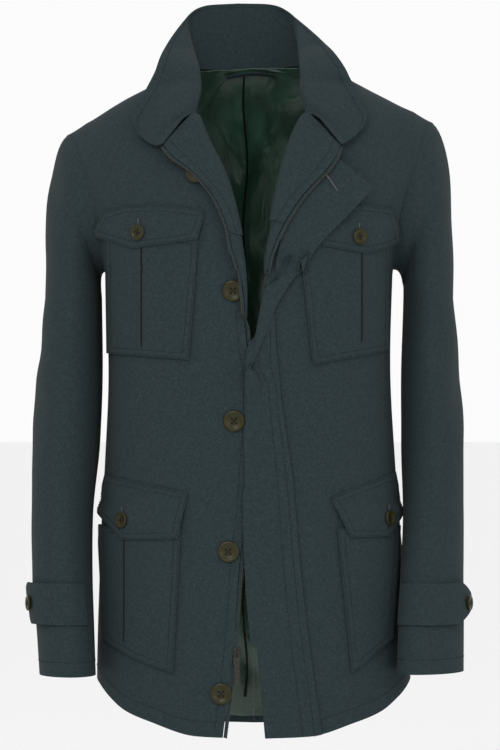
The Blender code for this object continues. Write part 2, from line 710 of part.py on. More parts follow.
def build_collar(finish):
    """Stand collar in one piece, from one front end round the back to the other."""
    stations = 11
    steps = 4
    grid = []
    for n in range(-stations, stations + 1):
        side = -1 if n < 0 else 1
        along = abs(n) / stations
        row = []
        for k in range(steps + 1):
            across = k / steps
            u = min(max(along, 0.004), 0.996)
            v = min(max(across, 0.004), 0.996)
            normal = normal_of(lambda a, b: collar_point(a, b, side), u, v) * side
            if n == 0:
                normal.x = 0
                normal.normalize()
            row.append((collar_point(along, across, side), normal))
        grid.append(row)
    wall("collar", Cloth().add(grid, True), -1.3 * CLOTH, 0.0, finish)


def sleeve_ring(side, z, share):
    """Point of a sleeve's hanging part; share runs 0 at the outside, 0.25 front, 0.5 inside, 0.75 back."""
    table = RIGHT_SLEEVE if side < 0 else LEFT_SLEEVE
    value = {name: read(table, SLEEVE_COLUMNS, z, name) for name in SLEEVE_COLUMNS[1:]}
    swing = share * 2 * math.pi
    out = value["half_width"] * math.cos(swing)
    forward = value["half_depth"] * math.sin(swing)
    turn = math.radians(value["turn"])
    dx = out * math.cos(turn) - forward * math.sin(turn)
    dy = out * math.sin(turn) + forward * math.cos(turn)
    return Vector((value["x"] + side * dx, value["y"] - dy, z))


def armhole(side, share):
    """Point of the armhole's edge for the same share, with the way the sleeve leaves it."""
    face = "front" if share <= 0.5 else "back"
    from_tip = share * 2 if share <= 0.5 else (1 - share) * 2
    level = 2 - from_tip
    bottom = max(0.0, (from_tip - 0.7) / 0.3)
    turn = outer_turn(level, face)
    point, normal = torso_pair(turn, level, side, face)
    leave = Vector((side, 0, -0.55 + 0.35 * from_tip + 0.6 * bottom ** 2)).normalized()
    return point + leave * (3.6 * GAP + 0.0009 * (1 - from_tip) ** 2), leave


def sleeve_point(side, share, row):
    """Row 0 to 1 runs over the sleeve head, 1 and on down the hanging part."""
    table = RIGHT_SLEEVE if side < 0 else LEFT_SLEEVE
    top_z = table[0][0]
    share = share % 1.0
    if row >= 1:
        z = top_z + (table[-1][0] - top_z) * (row - 1)
        return sleeve_ring(side, z, share)
    start, leave = armhole(side, share)
    end = sleeve_ring(side, top_z, share)
    gap = (end - start).length
    pull = leave * min(gap, 0.10) * 1.0
    fall = Vector((0, 0, -1)) * gap * 1.2
    t = row
    return (start * ((1 + 2 * t) * (1 - t) ** 2) + pull * (t * (1 - t) ** 2)
            + end * (t * t * (3 - 2 * t)) + fall * (t * t * (t - 1)))


def sleeve_grid(side, first, last):
    """Rows of (point, normal) down the sleeve, between two shares of its ring."""
    table = RIGHT_SLEEVE if side < 0 else LEFT_SLEEVE
    top_z, end_z = table[0][0], table[-1][0]
    rows = [n / CAP_ROWS for n in range(CAP_ROWS)]
    heights = (top_z, -0.35, -0.41, -0.47, -0.53, -0.58, TAB_TOP_Z, TAB_BOTTOM_Z, end_z)
    heights = sorted(set(heights), reverse=True)
    rows += [1 + (z - top_z) / (end_z - top_z) for z in heights]
    steps = max(4, round((last - first) * SLEEVE_RING))
    grid = []
    for row in rows:
        line = []
        for j in range(steps + 1):
            share = first + (last - first) * j / steps
            normal = normal_of(lambda a, b: sleeve_point(side, a, b), share, max(row, 0.003)) * side
            line.append((sleeve_point(side, share, row), normal))
        grid.append(line)
    return rows, grid


def build_sleeves(finish):
    """Top sleeve and under sleeve on each side, and the tab round each cuff."""
    for side, name in ((-1, "right"), (1, "left")):
        hair = 4.5 * SEAM / 0.35
        half = UNDER_SLEEVE / 2
        rows, top = sleeve_grid(side, -0.5 + half + hair, 0.5 - half - hair)
        wall("top_sleeve_" + name, Cloth().add(top, side > 0), -CLOTH, 0.0, finish)
        under = sleeve_grid(side, 0.5 - half + hair, 0.5 + half - hair)[1]
        wall("under_sleeve_" + name, Cloth().add(under, side > 0), -CLOTH, 0.0, finish)
        build_tab(side, name, rows, top, finish)


def build_cuff_buttons(finish):
    """Button near the free end of each cuff tab."""
    for side, name, share in ((-1, "right", 0.045), (1, "left", -0.02)):
        z = (TAB_TOP_Z + TAB_BOTTOM_Z) / 2
        place = sleeve_ring(side, z, share)
        across = sleeve_ring(side, z, share + 0.01) - sleeve_ring(side, z, share - 0.01)
        normal = across.cross(Vector((0, 0, 1))).normalized()
        if normal.x * side < 0:
            normal.negate()
        away = 1 - (share + 0.11) / 0.47
        stand = GAP + 0.0075 * away ** 2 + 1.5 * CLOTH + CUFF_BUTTON_STAND
        place_button("cuff_button_" + name, place, normal, CUFF_BUTTON, stand, finish)


def build_tab(side, name, rows, top, finish):
    """Cuff tab: a strap laid on the top sleeve's own points, its pointed end standing off outside."""
    table = RIGHT_SLEEVE if side < 0 else LEFT_SLEEVE
    heights = [table[0][0] + (table[-1][0] - table[0][0]) * (r - 1) for r in rows]
    band = [line for z, line in zip(heights, top) if TAB_BOTTOM_Z - 1e-6 <= z <= TAB_TOP_Z + 1e-6]
    count = len(top[0])
    first = count // 2 - 2
    strap = [line[first:] for line in band]
    length = len(strap[0]) - 1
    grid = []
    for line in strap:
        row = []
        for j, (point, normal) in enumerate(line):
            away = 1 - j / length
            row.append((point + normal * (GAP + 0.0075 * away ** 2), normal))
        grid.append(row)
    wall("cuff_tab_" + name, Cloth().add(grid, side > 0), 0.0, 1.5 * CLOTH, finish)


def button_mesh(name, diameter, thickness):
    """Turned button with a raised rim."""
    r = diameter / 2
    outline = ((0.0, thickness * 0.72), (r * 0.62, thickness * 0.72), (r * 0.80, thickness),
               (r * 0.94, thickness),
               (r, thickness * 0.6), (r * 0.86, 0.0), (0.0, 0.0))
    mesh = bpy.data.meshes.new(name + "_outline")
    mesh.from_pydata([(x, 0, z) for x, z in outline], [(n, n + 1) for n in range(len(outline) - 1)], [])
    return mesh


def place_button(name, place, normal, diameter, stand, finish):
    """Button whose back stands a little off the cloth, facing along the cloth's normal."""
    obj = link(name, button_mesh(name, diameter, 0.0032), finish)
    screw = obj.modifiers.new("turn", "SCREW")
    screw.steps = 12
    screw.render_steps = 12
    screw.use_merge_vertices = True
    screw.merge_threshold = 0.00005
    screw.use_normal_calculate = True
    turn = Vector((0, 0, 1)).rotation_difference(normal).to_matrix().to_4x4()
    obj.matrix_world = Matrix.Translation(place + normal * stand) @ turn
    return obj


def build_pockets(fronts, cloth_finish, button_finish):
    """Patch pockets, the flaps over them, and their buttons, all on the fronts' own facets."""
    pockets = (("chest", -1, "right", CHEST_RIGHT), ("chest", 1, "left", CHEST_LEFT),
               ("hip", -1, "right", HIP_RIGHT), ("hip", 1, "left", HIP_LEFT))
    for kind, side, name, shape in pockets:
        body = fronts[side][3]
        patch = body.cut(shape["patch"])
        wall(f"{kind}_pocket_{name}", patch, GAP, 2.2 * CLOTH, cloth_finish)
        hinge = shape["hinge_z"]
        flap = body.cut(shape["flap"]).split(hinge).split(hinge - 0.012)
        rise = 2.2 * CLOTH + 2 * GAP

        def low(point, hinge=hinge, rise=rise):
            return GAP + (rise - GAP) * min(max((hinge - point.z) / 0.012, 0.0), 1.0)

        def high(point, hinge=hinge, rise=rise):
            return low(point, hinge, rise) + 1.3 * CLOTH

        wall(f"{kind}_flap_{name}", flap, low, high, cloth_finish)
        turn, level = find_level(shape["button"][0], shape["button"][1], side)
        point, normal = torso_pair(turn, level, side, "front")
        stand = rise + 1.3 * CLOTH + GAP
        place_button(f"{kind}_button_{name}", point, normal, POCKET_BUTTON, stand, button_finish)


def build_front_buttons(fronts, finish):
    """Buttons of the fly down the right front; the top one faces the chest under the turned-back part."""
    levels, body, lapel = fronts[-1][:3]
    for n, (x, z) in enumerate(FRONT_BUTTONS):
        turn, level = find_level(x, z, -1)
        point, normal = torso_pair(turn, level, -1, "front")
        place_button(f"front_button_{n + 2}", point, normal, FRONT_BUTTON, 0.0006, finish)
    row = min(lapel, key=lambda line: abs(line[-1][0].z - TOP_BUTTON[1]))
    place = row[-1][0].lerp(row[-2][0], 0.9)
    place_button("front_button_1", place, row[-1][1], FRONT_BUTTON, 0.0030, finish)


# Zip sliders and their pull tabs, low on the right front's tape
SLIDER_WIDTH = 0.0080
SLIDER_HEIGHT = 0.0100
SLIDER_DEPTH = 0.0050
SLIDER_Z = (-0.7020, -0.7130)
BRIDGE_RADIUS = 0.0030
BRIDGE_WIRE = 0.0006
PULL_WIDTH = 0.0060
PULL_WALL = 0.0012
PULL_LENGTH = (0.0400, 0.0270)
EYE_LENGTH = 0.0060
BAR = 0.0011                # width of the pull's bar, which hangs under the bridge
BAR_STANDOFF = 0.0014       # from the slider's face to the middle of the bar


def box(name, size, place, finish, bevel=0.0):
    """Box of a size at a place."""
    bpy.ops.mesh.primitive_cube_add(size=1.0, location=place)
    obj = bpy.context.object
    obj.name = name
    obj.data.transform(Matrix.Diagonal((*size, 1.0)))
    obj.data.materials.append(finish)
    for other in obj.users_collection:
        other.objects.unlink(obj)
    bpy.data.collections["field_jacket"].objects.link(obj)
    if bevel:
        soften = obj.modifiers.new("soften", "BEVEL")
        soften.width = bevel
        soften.segments = 1
    return obj


def cutter(name, size, place):
    """Box that only cuts."""
    obj = box(name, size, place, material("cutter", (1.0, 0.0, 0.0), 0.5))
    bpy.data.collections["field_jacket"].objects.unlink(obj)
    bpy.data.collections["cutters"].objects.link(obj)
    obj.hide_render = True
    obj.display_type = "WIRE"
    return obj


def boolean(obj, tool, operation):
    """Joins a tool to an object, or cuts it away."""
    step = obj.modifiers.new(tool.name, "BOOLEAN")
    step.operation = operation
    step.object = tool


def build_slider(name, centre, facing, length, metal):
    """Slider with its bridge, and the pull whose bar hangs under the bridge; facing is -1 front, 1 back."""
    body = box("zip_slider_" + name, (SLIDER_WIDTH, SLIDER_DEPTH, SLIDER_HEIGHT), centre, metal, 0.0006)
    slot_place = centre + Vector((-SLIDER_WIDTH / 2, 0, 0))
    slot_size = (2 * SLIDER_WIDTH - 0.002, 2 * SLIDER_DEPTH / 5, 2 * SLIDER_HEIGHT)
    slot = cutter("slot_" + name, slot_size, slot_place)
    boolean(body, slot, "DIFFERENCE")
    face_y = centre.y + facing * SLIDER_DEPTH / 2
    bpy.ops.mesh.primitive_torus_add(major_radius=BRIDGE_RADIUS, minor_radius=BRIDGE_WIRE, major_segments=10,
                                     minor_segments=5, location=(centre.x, face_y, centre.z),
                                     rotation=(0, math.pi / 2, 0))
    bridge = bpy.context.object
    bridge.name = "bridge_" + name
    for other in bridge.users_collection:
        other.objects.unlink(bridge)
    bpy.data.collections["cutters"].objects.link(bridge)
    bridge.hide_render = True
    bridge.display_type = "WIRE"
    keep = cutter("keep_" + name, (0.004, BRIDGE_RADIUS + 0.002, 0.012),
                  (centre.x, face_y + facing * (BRIDGE_RADIUS / 2 + 0.001 - 0.0004), centre.z))
    boolean(bridge, keep, "INTERSECT")
    boolean(body, bridge, "UNION")
    axis_y = face_y + facing * BAR_STANDOFF
    middle = centre.z + BAR / 2 - length / 2
    pull = box("zip_pull_" + name, (PULL_WIDTH, PULL_WALL, length), (centre.x, axis_y, middle), metal)
    window = cutter("window_" + name, (PULL_WIDTH - 2 * 0.0014, 0.01, EYE_LENGTH),
                    (centre.x, axis_y, centre.z - BAR / 2 - EYE_LENGTH / 2))
    boolean(pull, window, "DIFFERENCE")


def build_sliders(fronts, metal):
    """Both sliders of the two-way zip at the bottom of the right front's tape."""
    run = edge_run(fronts, -1)
    sliders = (("upper", SLIDER_Z[0], -1, PULL_LENGTH[0]), ("lower", SLIDER_Z[1], 1, PULL_LENGTH[1]))
    for name, z, facing, length in sliders:
        for low, high in zip(run, run[1:]):
            if low[0].z <= z <= high[0].z:
                t = (z - low[0].z) / (high[0].z - low[0].z)
                point = low[0].lerp(high[0], t)
                normal = low[1].lerp(high[1], t)
                beyond = low[2].lerp(high[2], t)
                centre = point - normal * (CLOTH + GAP / 2) + beyond * (ZIP_REACH - 0.0006)
                build_slider(name, centre + Vector((0.0006, 0, 0)), facing, length, metal)
                break


def build_loop(finish):
    """Hanger loop: a short band across the back neck, below the collar seam."""
    grid = []
    for level in (BACK_NECK_LEVEL - 0.035, BACK_NECK_LEVEL - 0.012):
        width = 0.050 if level < BACK_NECK_LEVEL - 0.02 else 0.058
        row = []
        for n in range(-3, 4):
            side = -1 if n < 0 else 1
            row.append(torso_pair(width * abs(n) / 3, level, side, "back"))
        grid.append(row)
    inner = -CLOTH - LINING - LOOP_STAND
    wall("hanger_loop", Cloth().add(grid), inner - CLOTH, inner, finish)


def main():
    for obj in list(bpy.data.objects):
        bpy.data.objects.remove(obj, do_unlink=True)
    for name in ("field_jacket", "cutters"):
        group = bpy.data.collections.new(name)
        bpy.context.scene.collection.children.link(group)
    cloth = material("twill", (0.031, 0.045, 0.048), 0.85)
    lining = material("satin", (0.011, 0.022, 0.016), 0.35)
    horn = material("button", (0.045, 0.042, 0.013), 0.35)
    brass = material("zip", (0.09, 0.075, 0.045), 0.4, 0.8)
    metal = material("gunmetal", (0.05, 0.05, 0.045), 0.3, 1.0)
    fronts = build_fronts(cloth)
    build_placket(cloth)
    build_tapes(fronts, brass)
    build_backs(cloth, lining)
    build_collar(cloth)
    build_sleeves(cloth)
    build_pockets(fronts, cloth, horn)
    build_front_buttons(fronts, horn)
    build_cuff_buttons(horn)
    build_sliders(fronts, metal)
    build_loop(cloth)


main()
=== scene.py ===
"""Looks of the field jacket: heather twill, satin lining, turned buttons, topstitching and zip teeth.

Every cloth piece is built from the tables below and hides the frame solid of its name: the facets are
smoothed, creased where the cloth folds, and finished with a woven material.  Metres, +Z up, -Y is the front.
"""

import math

import bmesh
import bpy
from mathutils import Matrix, Vector, noise


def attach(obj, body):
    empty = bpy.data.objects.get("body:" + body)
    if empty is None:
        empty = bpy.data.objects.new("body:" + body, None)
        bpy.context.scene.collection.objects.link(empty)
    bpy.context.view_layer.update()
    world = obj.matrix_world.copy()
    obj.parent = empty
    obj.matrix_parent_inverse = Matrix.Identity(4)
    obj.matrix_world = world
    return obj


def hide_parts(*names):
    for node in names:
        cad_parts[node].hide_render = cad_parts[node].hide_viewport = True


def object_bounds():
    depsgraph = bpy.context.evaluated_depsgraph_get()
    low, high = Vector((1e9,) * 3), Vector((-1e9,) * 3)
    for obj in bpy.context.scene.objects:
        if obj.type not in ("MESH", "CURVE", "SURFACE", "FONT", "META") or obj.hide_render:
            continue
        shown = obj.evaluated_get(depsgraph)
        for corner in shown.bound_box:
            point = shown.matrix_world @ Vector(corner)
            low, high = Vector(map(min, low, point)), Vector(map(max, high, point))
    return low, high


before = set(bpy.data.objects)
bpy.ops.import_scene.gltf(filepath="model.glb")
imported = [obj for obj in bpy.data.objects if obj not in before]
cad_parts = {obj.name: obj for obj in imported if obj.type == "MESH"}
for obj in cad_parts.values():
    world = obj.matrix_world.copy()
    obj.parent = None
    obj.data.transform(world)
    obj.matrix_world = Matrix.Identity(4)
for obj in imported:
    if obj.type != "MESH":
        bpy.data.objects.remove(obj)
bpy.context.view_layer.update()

# Sizes ---------------------------------------------------------------------------------------------
CAMERA_DISTANCE = 4.6
CAMERA_HEIGHT = -0.381
CAMERA_LENS = 184.0
SENSOR = 36.0
STITCH_PITCH = 0.0033       # one stitch and its gap
STITCH_LENGTH = 0.0024
STITCH_RADIUS = 0.00030
ROW_INSET = 0.0016          # first topstitch row from an edge
ROW_SPACING = 0.0055        # from the first row to the second
TOOTH_PITCH = 0.0025
TOOTH_SIZE = (0.0014, 0.0034, 0.0024)   # along the tape, across it, through it
CREASE_SEED = 4

CLOTH_LIT = (0.0255, 0.0405, 0.0440)
CLOTH_DARK = (0.0110, 0.0190, 0.0215)
CLOTH_FLECK = (0.0700, 0.0820, 0.0830)
LINING_GREEN = (0.0160, 0.0480, 0.0300)
BUTTON_OLIVE = (0.0190, 0.0175, 0.0035)
THREAD = (0.0060, 0.0085, 0.0095)
MAUVE = (0.0850, 0.0800, 0.0900)
BRASS = (0.0620, 0.0520, 0.0330)
GUNMETAL = (0.0420, 0.0420, 0.0380)

FRONT = Vector((0, -1, 0))


# Materials -------------------------------------------------------------------------------------------
def node_group(name, inputs, outputs):
    """Empty shader node group with named sockets."""
    group = bpy.data.node_groups.new(name, "ShaderNodeTree")
    for label, kind, value in inputs:
        socket = group.interface.new_socket(label, in_out="INPUT", socket_type=kind)
        socket.default_value = value
    for label, kind in outputs:
        group.interface.new_socket(label, in_out="OUTPUT", socket_type=kind)
    return group, group.nodes.new("NodeGroupInput"), group.nodes.new("NodeGroupOutput")


def twill_group():
    """Heather twill: fine diagonal ribs, mixed fibre colours and a soft mottling."""
    group, given, result = node_group(
        "heather_twill",
        (("Light", "NodeSocketColor", CLOTH_LIT + (1,)), ("Dark", "NodeSocketColor", CLOTH_DARK + (1,)),
         ("Fleck", "NodeSocketColor", CLOTH_FLECK + (1,))),
        (("Color", "NodeSocketColor"), ("Height", "NodeSocketFloat")))
    nodes, links = group.nodes, group.links
    place = nodes.new("ShaderNodeTexCoord")
    turn = nodes.new("ShaderNodeMapping")
    turn.inputs["Rotation"].default_value = (0.0, math.radians(45), 0.0)
    links.new(place.outputs["Object"], turn.inputs["Vector"])
    ribs = nodes.new("ShaderNodeTexWave")
    ribs.inputs["Scale"].default_value = 260.0
    ribs.inputs["Distortion"].default_value = 1.6
    ribs.inputs["Detail Scale"].default_value = 3.0
    links.new(turn.outputs["Vector"], ribs.inputs["Vector"])
    fibre = nodes.new("ShaderNodeTexNoise")
    fibre.inputs["Scale"].default_value = 900.0
    fibre.inputs["Detail"].default_value = 3.0
    links.new(place.outputs["Object"], fibre.inputs["Vector"])
    cloud = nodes.new("ShaderNodeTexNoise")
    cloud.inputs["Scale"].default_value = 260.0
    cloud.inputs["Detail"].default_value = 5.0
    links.new(place.outputs["Object"], cloud.inputs["Vector"])
    blend = nodes.new("ShaderNodeMix")
    blend.data_type = "RGBA"
    links.new(cloud.outputs["Fac"], blend.inputs["Factor"])
    links.new(given.outputs["Dark"], blend.inputs["A"])
    links.new(given.outputs["Light"], blend.inputs["B"])
    pick = nodes.new("ShaderNodeMapRange")
    pick.inputs["From Min"].default_value = 0.56
    pick.inputs["From Max"].default_value = 0.74
    pick.inputs["To Max"].default_value = 0.55
    links.new(fibre.outputs["Fac"], pick.inputs["Value"])
    flecked = nodes.new("ShaderNodeMix")
    flecked.data_type = "RGBA"
    links.new(pick.outputs["Result"], flecked.inputs["Factor"])
    links.new(blend.outputs["Result"], flecked.inputs["A"])
    links.new(given.outputs["Fleck"], flecked.inputs["B"])
    shade = nodes.new("ShaderNodeMix")
    shade.data_type = "RGBA"
    shade.blend_type = "MULTIPLY"
    shade.inputs["Factor"].default_value = 0.22
    links.new(flecked.outputs["Result"], shade.inputs["A"])
    links.new(ribs.outputs["Color"], shade.inputs["B"])
    links.new(shade.outputs["Result"], result.inputs["Color"])
    height = nodes.new("ShaderNodeMath")
    height.operation = "MULTIPLY_ADD"
    height.inputs[1].default_value = 0.6
    links.new(ribs.outputs["Fac"], height.inputs[0])
    links.new(fibre.outputs["Fac"], height.inputs[2])
    links.new(height.outputs["Value"], result.inputs["Height"])
    return group


def grain_group():
    """Soft variation of colour and gloss for hard pieces."""
    group, given, result = node_group(
        "worn_grain", (("Base", "NodeSocketColor", (0.5, 0.5, 0.5, 1)), ("Scale", "NodeSocketFloat", 300.0),
                       ("Gloss", "NodeSocketFloat", 0.3)),
        (("Color", "NodeSocketColor"), ("Roughness", "NodeSocketFloat"), ("Height", "NodeSocketFloat")))
    nodes, links = group.nodes, group.links
    place = nodes.new("ShaderNodeTexCoord")
    marks = nodes.new("ShaderNodeTexNoise")
    marks.inputs["Detail"].default_value = 4.0
    links.new(place.outputs["Object"], marks.inputs["Vector"])
    links.new(given.outputs["Scale"], marks.inputs["Scale"])
    tone = nodes.new("ShaderNodeMapRange")
    tone.inputs["To Min"].default_value = 0.55
    tone.inputs["To Max"].default_value = 1.45
    links.new(marks.outputs["Fac"], tone.inputs["Value"])
    tint = nodes.new("ShaderNodeVectorMath")
    tint.operation = "SCALE"
    links.new(given.outputs["Base"], tint.inputs[0])
    links.new(tone.outputs["Result"], tint.inputs["Scale"])
    links.new(tint.outputs["Vector"], result.inputs["Color"])
    gloss = nodes.new("ShaderNodeMath")
    gloss.operation = "MULTIPLY_ADD"
    gloss.inputs[1].default_value = 0.2
    links.new(marks.outputs["Fac"], gloss.inputs[0])
    links.new(given.outputs["Gloss"], gloss.inputs[2])
    links.new(gloss.outputs["Value"], result.inputs["Roughness"])
    links.new(marks.outputs["Fac"], result.inputs["Height"])
    return group


TWILL = twill_group()
GRAIN = grain_group()


def new_material(name):
    """Material with its Principled shader."""
    made = bpy.data.materials.new(name)
    made.use_nodes = True
    return made, made.node_tree, made.node_tree.nodes["Principled BSDF"]


def add_bump(tree, shader, height, strength, distance):
    """Bump from a height socket."""
    bump = tree.nodes.new("ShaderNodeBump")
    bump.inputs["Strength"].default_value = strength
    bump.inputs["Distance"].default_value = distance
    tree.links.new(height, bump.inputs["Height"])
    tree.links.new(bump.outputs["Normal"], shader.inputs["Normal"])


def twill_material(name, light=CLOTH_LIT, dark=CLOTH_DARK):
    """Matt wool twill with a little nap."""
    made, tree, shader = new_material(name)
    weave = tree.nodes.new("ShaderNodeGroup")
    weave.node_tree = TWILL
    weave.inputs["Light"].default_value = light + (1,)
    weave.inputs["Dark"].default_value = dark + (1,)
    tree.links.new(weave.outputs["Color"], shader.inputs["Base Color"])
    shader.inputs["Roughness"].default_value = 0.92
    shader.inputs["Sheen Weight"].default_value = 0.02
    shader.inputs["Sheen Roughness"].default_value = 0.55
    shader.inputs["Specular IOR Level"].default_value = 0.1
    add_bump(tree, shader, weave.outputs["Height"], 0.35, 0.0004)
    return made


def satin_material():
    """Dark green satin with long soft wrinkles: the wrinkles bump it and paint its colour darker and lighter, a
    painted shade and sheen.
    """
    made, tree, shader = new_material("satin_lining")
    place = tree.nodes.new("ShaderNodeTexCoord")
    pull = tree.nodes.new("ShaderNodeMapping")
    pull.inputs["Scale"].default_value = (1.0, 1.0, 0.55)
    tree.links.new(place.outputs["Object"], pull.inputs["Vector"])
    folds = tree.nodes.new("ShaderNodeTexNoise")
    folds.inputs["Scale"].default_value = 34.0
    folds.inputs["Detail"].default_value = 2.0
    folds.inputs["Distortion"].default_value = 0.6
    tree.links.new(pull.outputs["Vector"], folds.inputs["Vector"])
    # Painted shade and sheen: 0.75 of the green in the wrinkles' hollows, 1.5 of it on their crests.
    tone = tree.nodes.new("ShaderNodeValToRGB")
    tone.color_ramp.elements[0].position = 0.35
    tone.color_ramp.elements[0].color = tuple(c * 0.75 for c in LINING_GREEN) + (1,)
    tone.color_ramp.elements[1].position = 0.7
    tone.color_ramp.elements[1].color = tuple(c * 1.5 for c in LINING_GREEN) + (1,)
    tree.links.new(folds.outputs["Fac"], tone.inputs["Fac"])
    tree.links.new(tone.outputs["Color"], shader.inputs["Base Color"])
    shader.inputs["Roughness"].default_value = 0.34
    shader.inputs["Sheen Weight"].default_value = 0.05
    add_bump(tree, shader, folds.outputs["Fac"], 0.5, 0.006)
    return made


def hard_material(name, colour, gloss, metallic, scale=400.0):
    """Horn, brass or gunmetal with worn grain."""
    made, tree, shader = new_material(name)
    grain = tree.nodes.new("ShaderNodeGroup")
    grain.node_tree = GRAIN
    grain.inputs["Base"].default_value = colour + (1,)
    grain.inputs["Scale"].default_value = scale
    grain.inputs["Gloss"].default_value = gloss
    tree.links.new(grain.outputs["Color"], shader.inputs["Base Color"])
    tree.links.new(grain.outputs["Roughness"], shader.inputs["Roughness"])
    shader.inputs["Metallic"].default_value = metallic
    shader.inputs["Specular IOR Level"].default_value = 0.18
    add_bump(tree, shader, grain.outputs["Height"], 0.12, 0.0003)
    return made


SHARP_ANGLE = math.radians(50)
SHOWN = {}
TWILL_CLOTH = twill_material("twill_heather")
SATIN = satin_material()
HORN = hard_material("olive_horn", BUTTON_OLIVE, 0.22, 0.0, 160.0)
TEETH = hard_material("antique_brass", BRASS, 0.28, 0.9)
PULL_METAL = hard_material("gunmetal_pull", GUNMETAL, 0.18, 1.0)
# Near-black painted shade: dark discs in the buttons' holes and dark tubes down the pleats.
PAINTED_SHADE = hard_material("painted_shade", (0.0025, 0.0025, 0.0015), 0.6, 0.0)
THREAD_FINISH = hard_material("sewing_thread", THREAD, 0.7, 0.0, 900.0)
MAUVE_FINISH = hard_material("buttonhole_thread", MAUVE, 0.7, 0.0, 900.0)


# Shape tables and surfaces ------------------------------------------------------------
CLOTH = 0.0016              # wall of the jacket cloth
LINING = 0.0010             # wall of the satin lining
GAP = 0.0003                # between pieces that touch
SEAM = 0.00001              # each side of a seam is held back by this
ARMPIT_Z = -0.262
RIDGE_Z = 0.0451            # the shoulder line is a hyperbola: RIDGE_Z - RIDGE_SLOPE * hypot(x, RIDGE_ROUND)
RIDGE_SLOPE = 0.571
RIDGE_ROUND = 0.060
RIDGE_Y = 0.006
LEAN = 0.035                # the left shoulder hangs this much higher per metre from the centre
SQUARENESS = 2.5            # exponent of the torso's superellipse
YOKE_SQUARENESS = 2.3       # exponent of the curve from chest level over the shoulder
ROLL_RADIUS = 0.0045        # roll of the turned-back fronts
COLLAR_LEAN = 0.17          # the collar's top leans to the wearer's right
FRONT_COLUMNS = 45
BACK_COLUMNS = 40
ARC_STEPS = 9               # facets round the roll
LAPEL_STEPS = 12            # facets from the roll to the zip
FACING_START = 0.014        # the facing goes round the roll only where more than this is turned back
ZIP_REACH = 0.005           # tape and teeth stand this far beyond the front's edge
ZIP_WALL = 0.0012
LOOP_STAND = 0.0034          # the hanger loop hangs this far inside the lining
TAPE_BREAK_Z = -0.262       # the left tape turns over here, so it is two strips
FRONT_BUTTON = 0.0250
POCKET_BUTTON = 0.0190
CUFF_BUTTON = 0.0180
CUFF_BUTTON_STAND = 0.0014

# Torso: half width, depth in front and behind, and sideways shift, at each height
TORSO_COLUMNS = ("z", "half_width", "front", "back", "shift")
TORSO = (
    (-0.830, 0.189, 0.150, 0.150, 0.005),
    (-0.740, 0.187, 0.149, 0.147, 0.004),
    (-0.650, 0.183, 0.146, 0.141, 0.002),
    (-0.560, 0.177, 0.141, 0.131, 0.000),
    (-0.483, 0.172, 0.138, 0.123, 0.000),
    (-0.387, 0.169, 0.140, 0.125, 0.000),
    (-0.262, 0.174, 0.146, 0.138, 0.000),
)

# Above the armpit: half width and where the armholes cut, as a share of it, by angle over the shoulder
YOKE_COLUMNS = ("angle", "half_width", "front_hole", "back_hole")
YOKE = (
    (0.0, 0.1740, 1.000, 1.000),
    (6.0, 0.1815, 0.975, 0.978),
    (13.0, 0.1895, 0.948, 0.956),
    (22.0, 0.1990, 0.926, 0.940),
    (34.0, 0.2095, 0.918, 0.934),
    (52.0, 0.2195, 0.928, 0.942),
    (72.0, 0.2215, 0.960, 0.968),
    (90.0, 0.2205, 1.000, 1.000),
)

# Hem height against the share of the half width
HEM_COLUMNS = ("share", "front", "back")
HEM = (
    (0.00, -0.8035, -0.8115),
    (0.35, -0.8010, -0.8095),
    (0.64, -0.7855, -0.7960),
    (0.80, -0.7745, -0.7800),
    (0.92, -0.7585, -0.7600),
    (1.00, -0.7430, -0.7430),
)

# The front's inner boundary from hem to shoulder: edge, then roll line, then neckline.
# Beyond the roll the turned-back part ends at the zip line, lifted off the chest.
EDGE_COLUMNS = ("roll_x", "roll_z", "zip_x", "zip_z", "turn", "lift")
RIGHT_EDGE = (
    (-0.0319, -0.8030, -0.0319, -0.8030, 0, 0.0000),
    (-0.0197, -0.6990, -0.0197, -0.6990, 0, 0.0000),
    (-0.0128, -0.6040, -0.0128, -0.6040, 0, 0.0000),
    (-0.0047, -0.5320, -0.0047, -0.5320, 0, 0.0000),
    (-0.0023, -0.3868, -0.0023, -0.3868, 0, 0.0000),
    (-0.0044, -0.3400, -0.0044, -0.3400, 0, 0.0000),
    (-0.0060, -0.3050, -0.0056, -0.3050, 130, 0.0065),
    (-0.0070, -0.2800, -0.0080, -0.2800, 170, 0.0085),
    (-0.0110, -0.2420, -0.0165, -0.2420, 178, 0.0100),
    (-0.0220, -0.1870, -0.0350, -0.1850, 180, 0.0110),
    (-0.0330, -0.1487, -0.0620, -0.1490, 180, 0.0125),
    (-0.0525, -0.1066, -0.0870, -0.1290, 180, 0.0130),
    (-0.0640, -0.0800, -0.0960, -0.1180, 180, 0.0130),
)
LEFT_EDGE = (
    (0.0560, -0.8030, 0.0560, -0.8030, 0, 0.0000),
    (0.0500, -0.6990, 0.0500, -0.6990, 0, 0.0000),
    (0.0440, -0.6040, 0.0440, -0.6040, 0, 0.0000),
    (0.0380, -0.5320, 0.0380, -0.5320, 0, 0.0000),
    (0.0280, -0.4300, 0.0280, -0.4300, 0, 0.0000),
    (0.0215, -0.3600, 0.0215, -0.3600, 0, 0.0000),
    (0.0215, -0.2858, 0.0215, -0.2858, 0, 0.0000),
    (0.0205, -0.2680, 0.0205, -0.2680, 0, 0.0000),
    (0.0195, -0.2500, 0.0210, -0.2500, 176, 0.0095),
    (0.0265, -0.2147, 0.0330, -0.2170, 178, 0.0110),
    (0.0350, -0.1702, 0.0560, -0.1780, 180, 0.0120),
    (0.0465, -0.1285, 0.0860, -0.1440, 180, 0.0130),
    (0.0585, -0.0945, 0.0960, -0.1290, 180, 0.0135),
    (0.0660, -0.0800, 0.1000, -0.1180, 180, 0.0135),
)
NECK_POINT = (0.078, -0.0115)

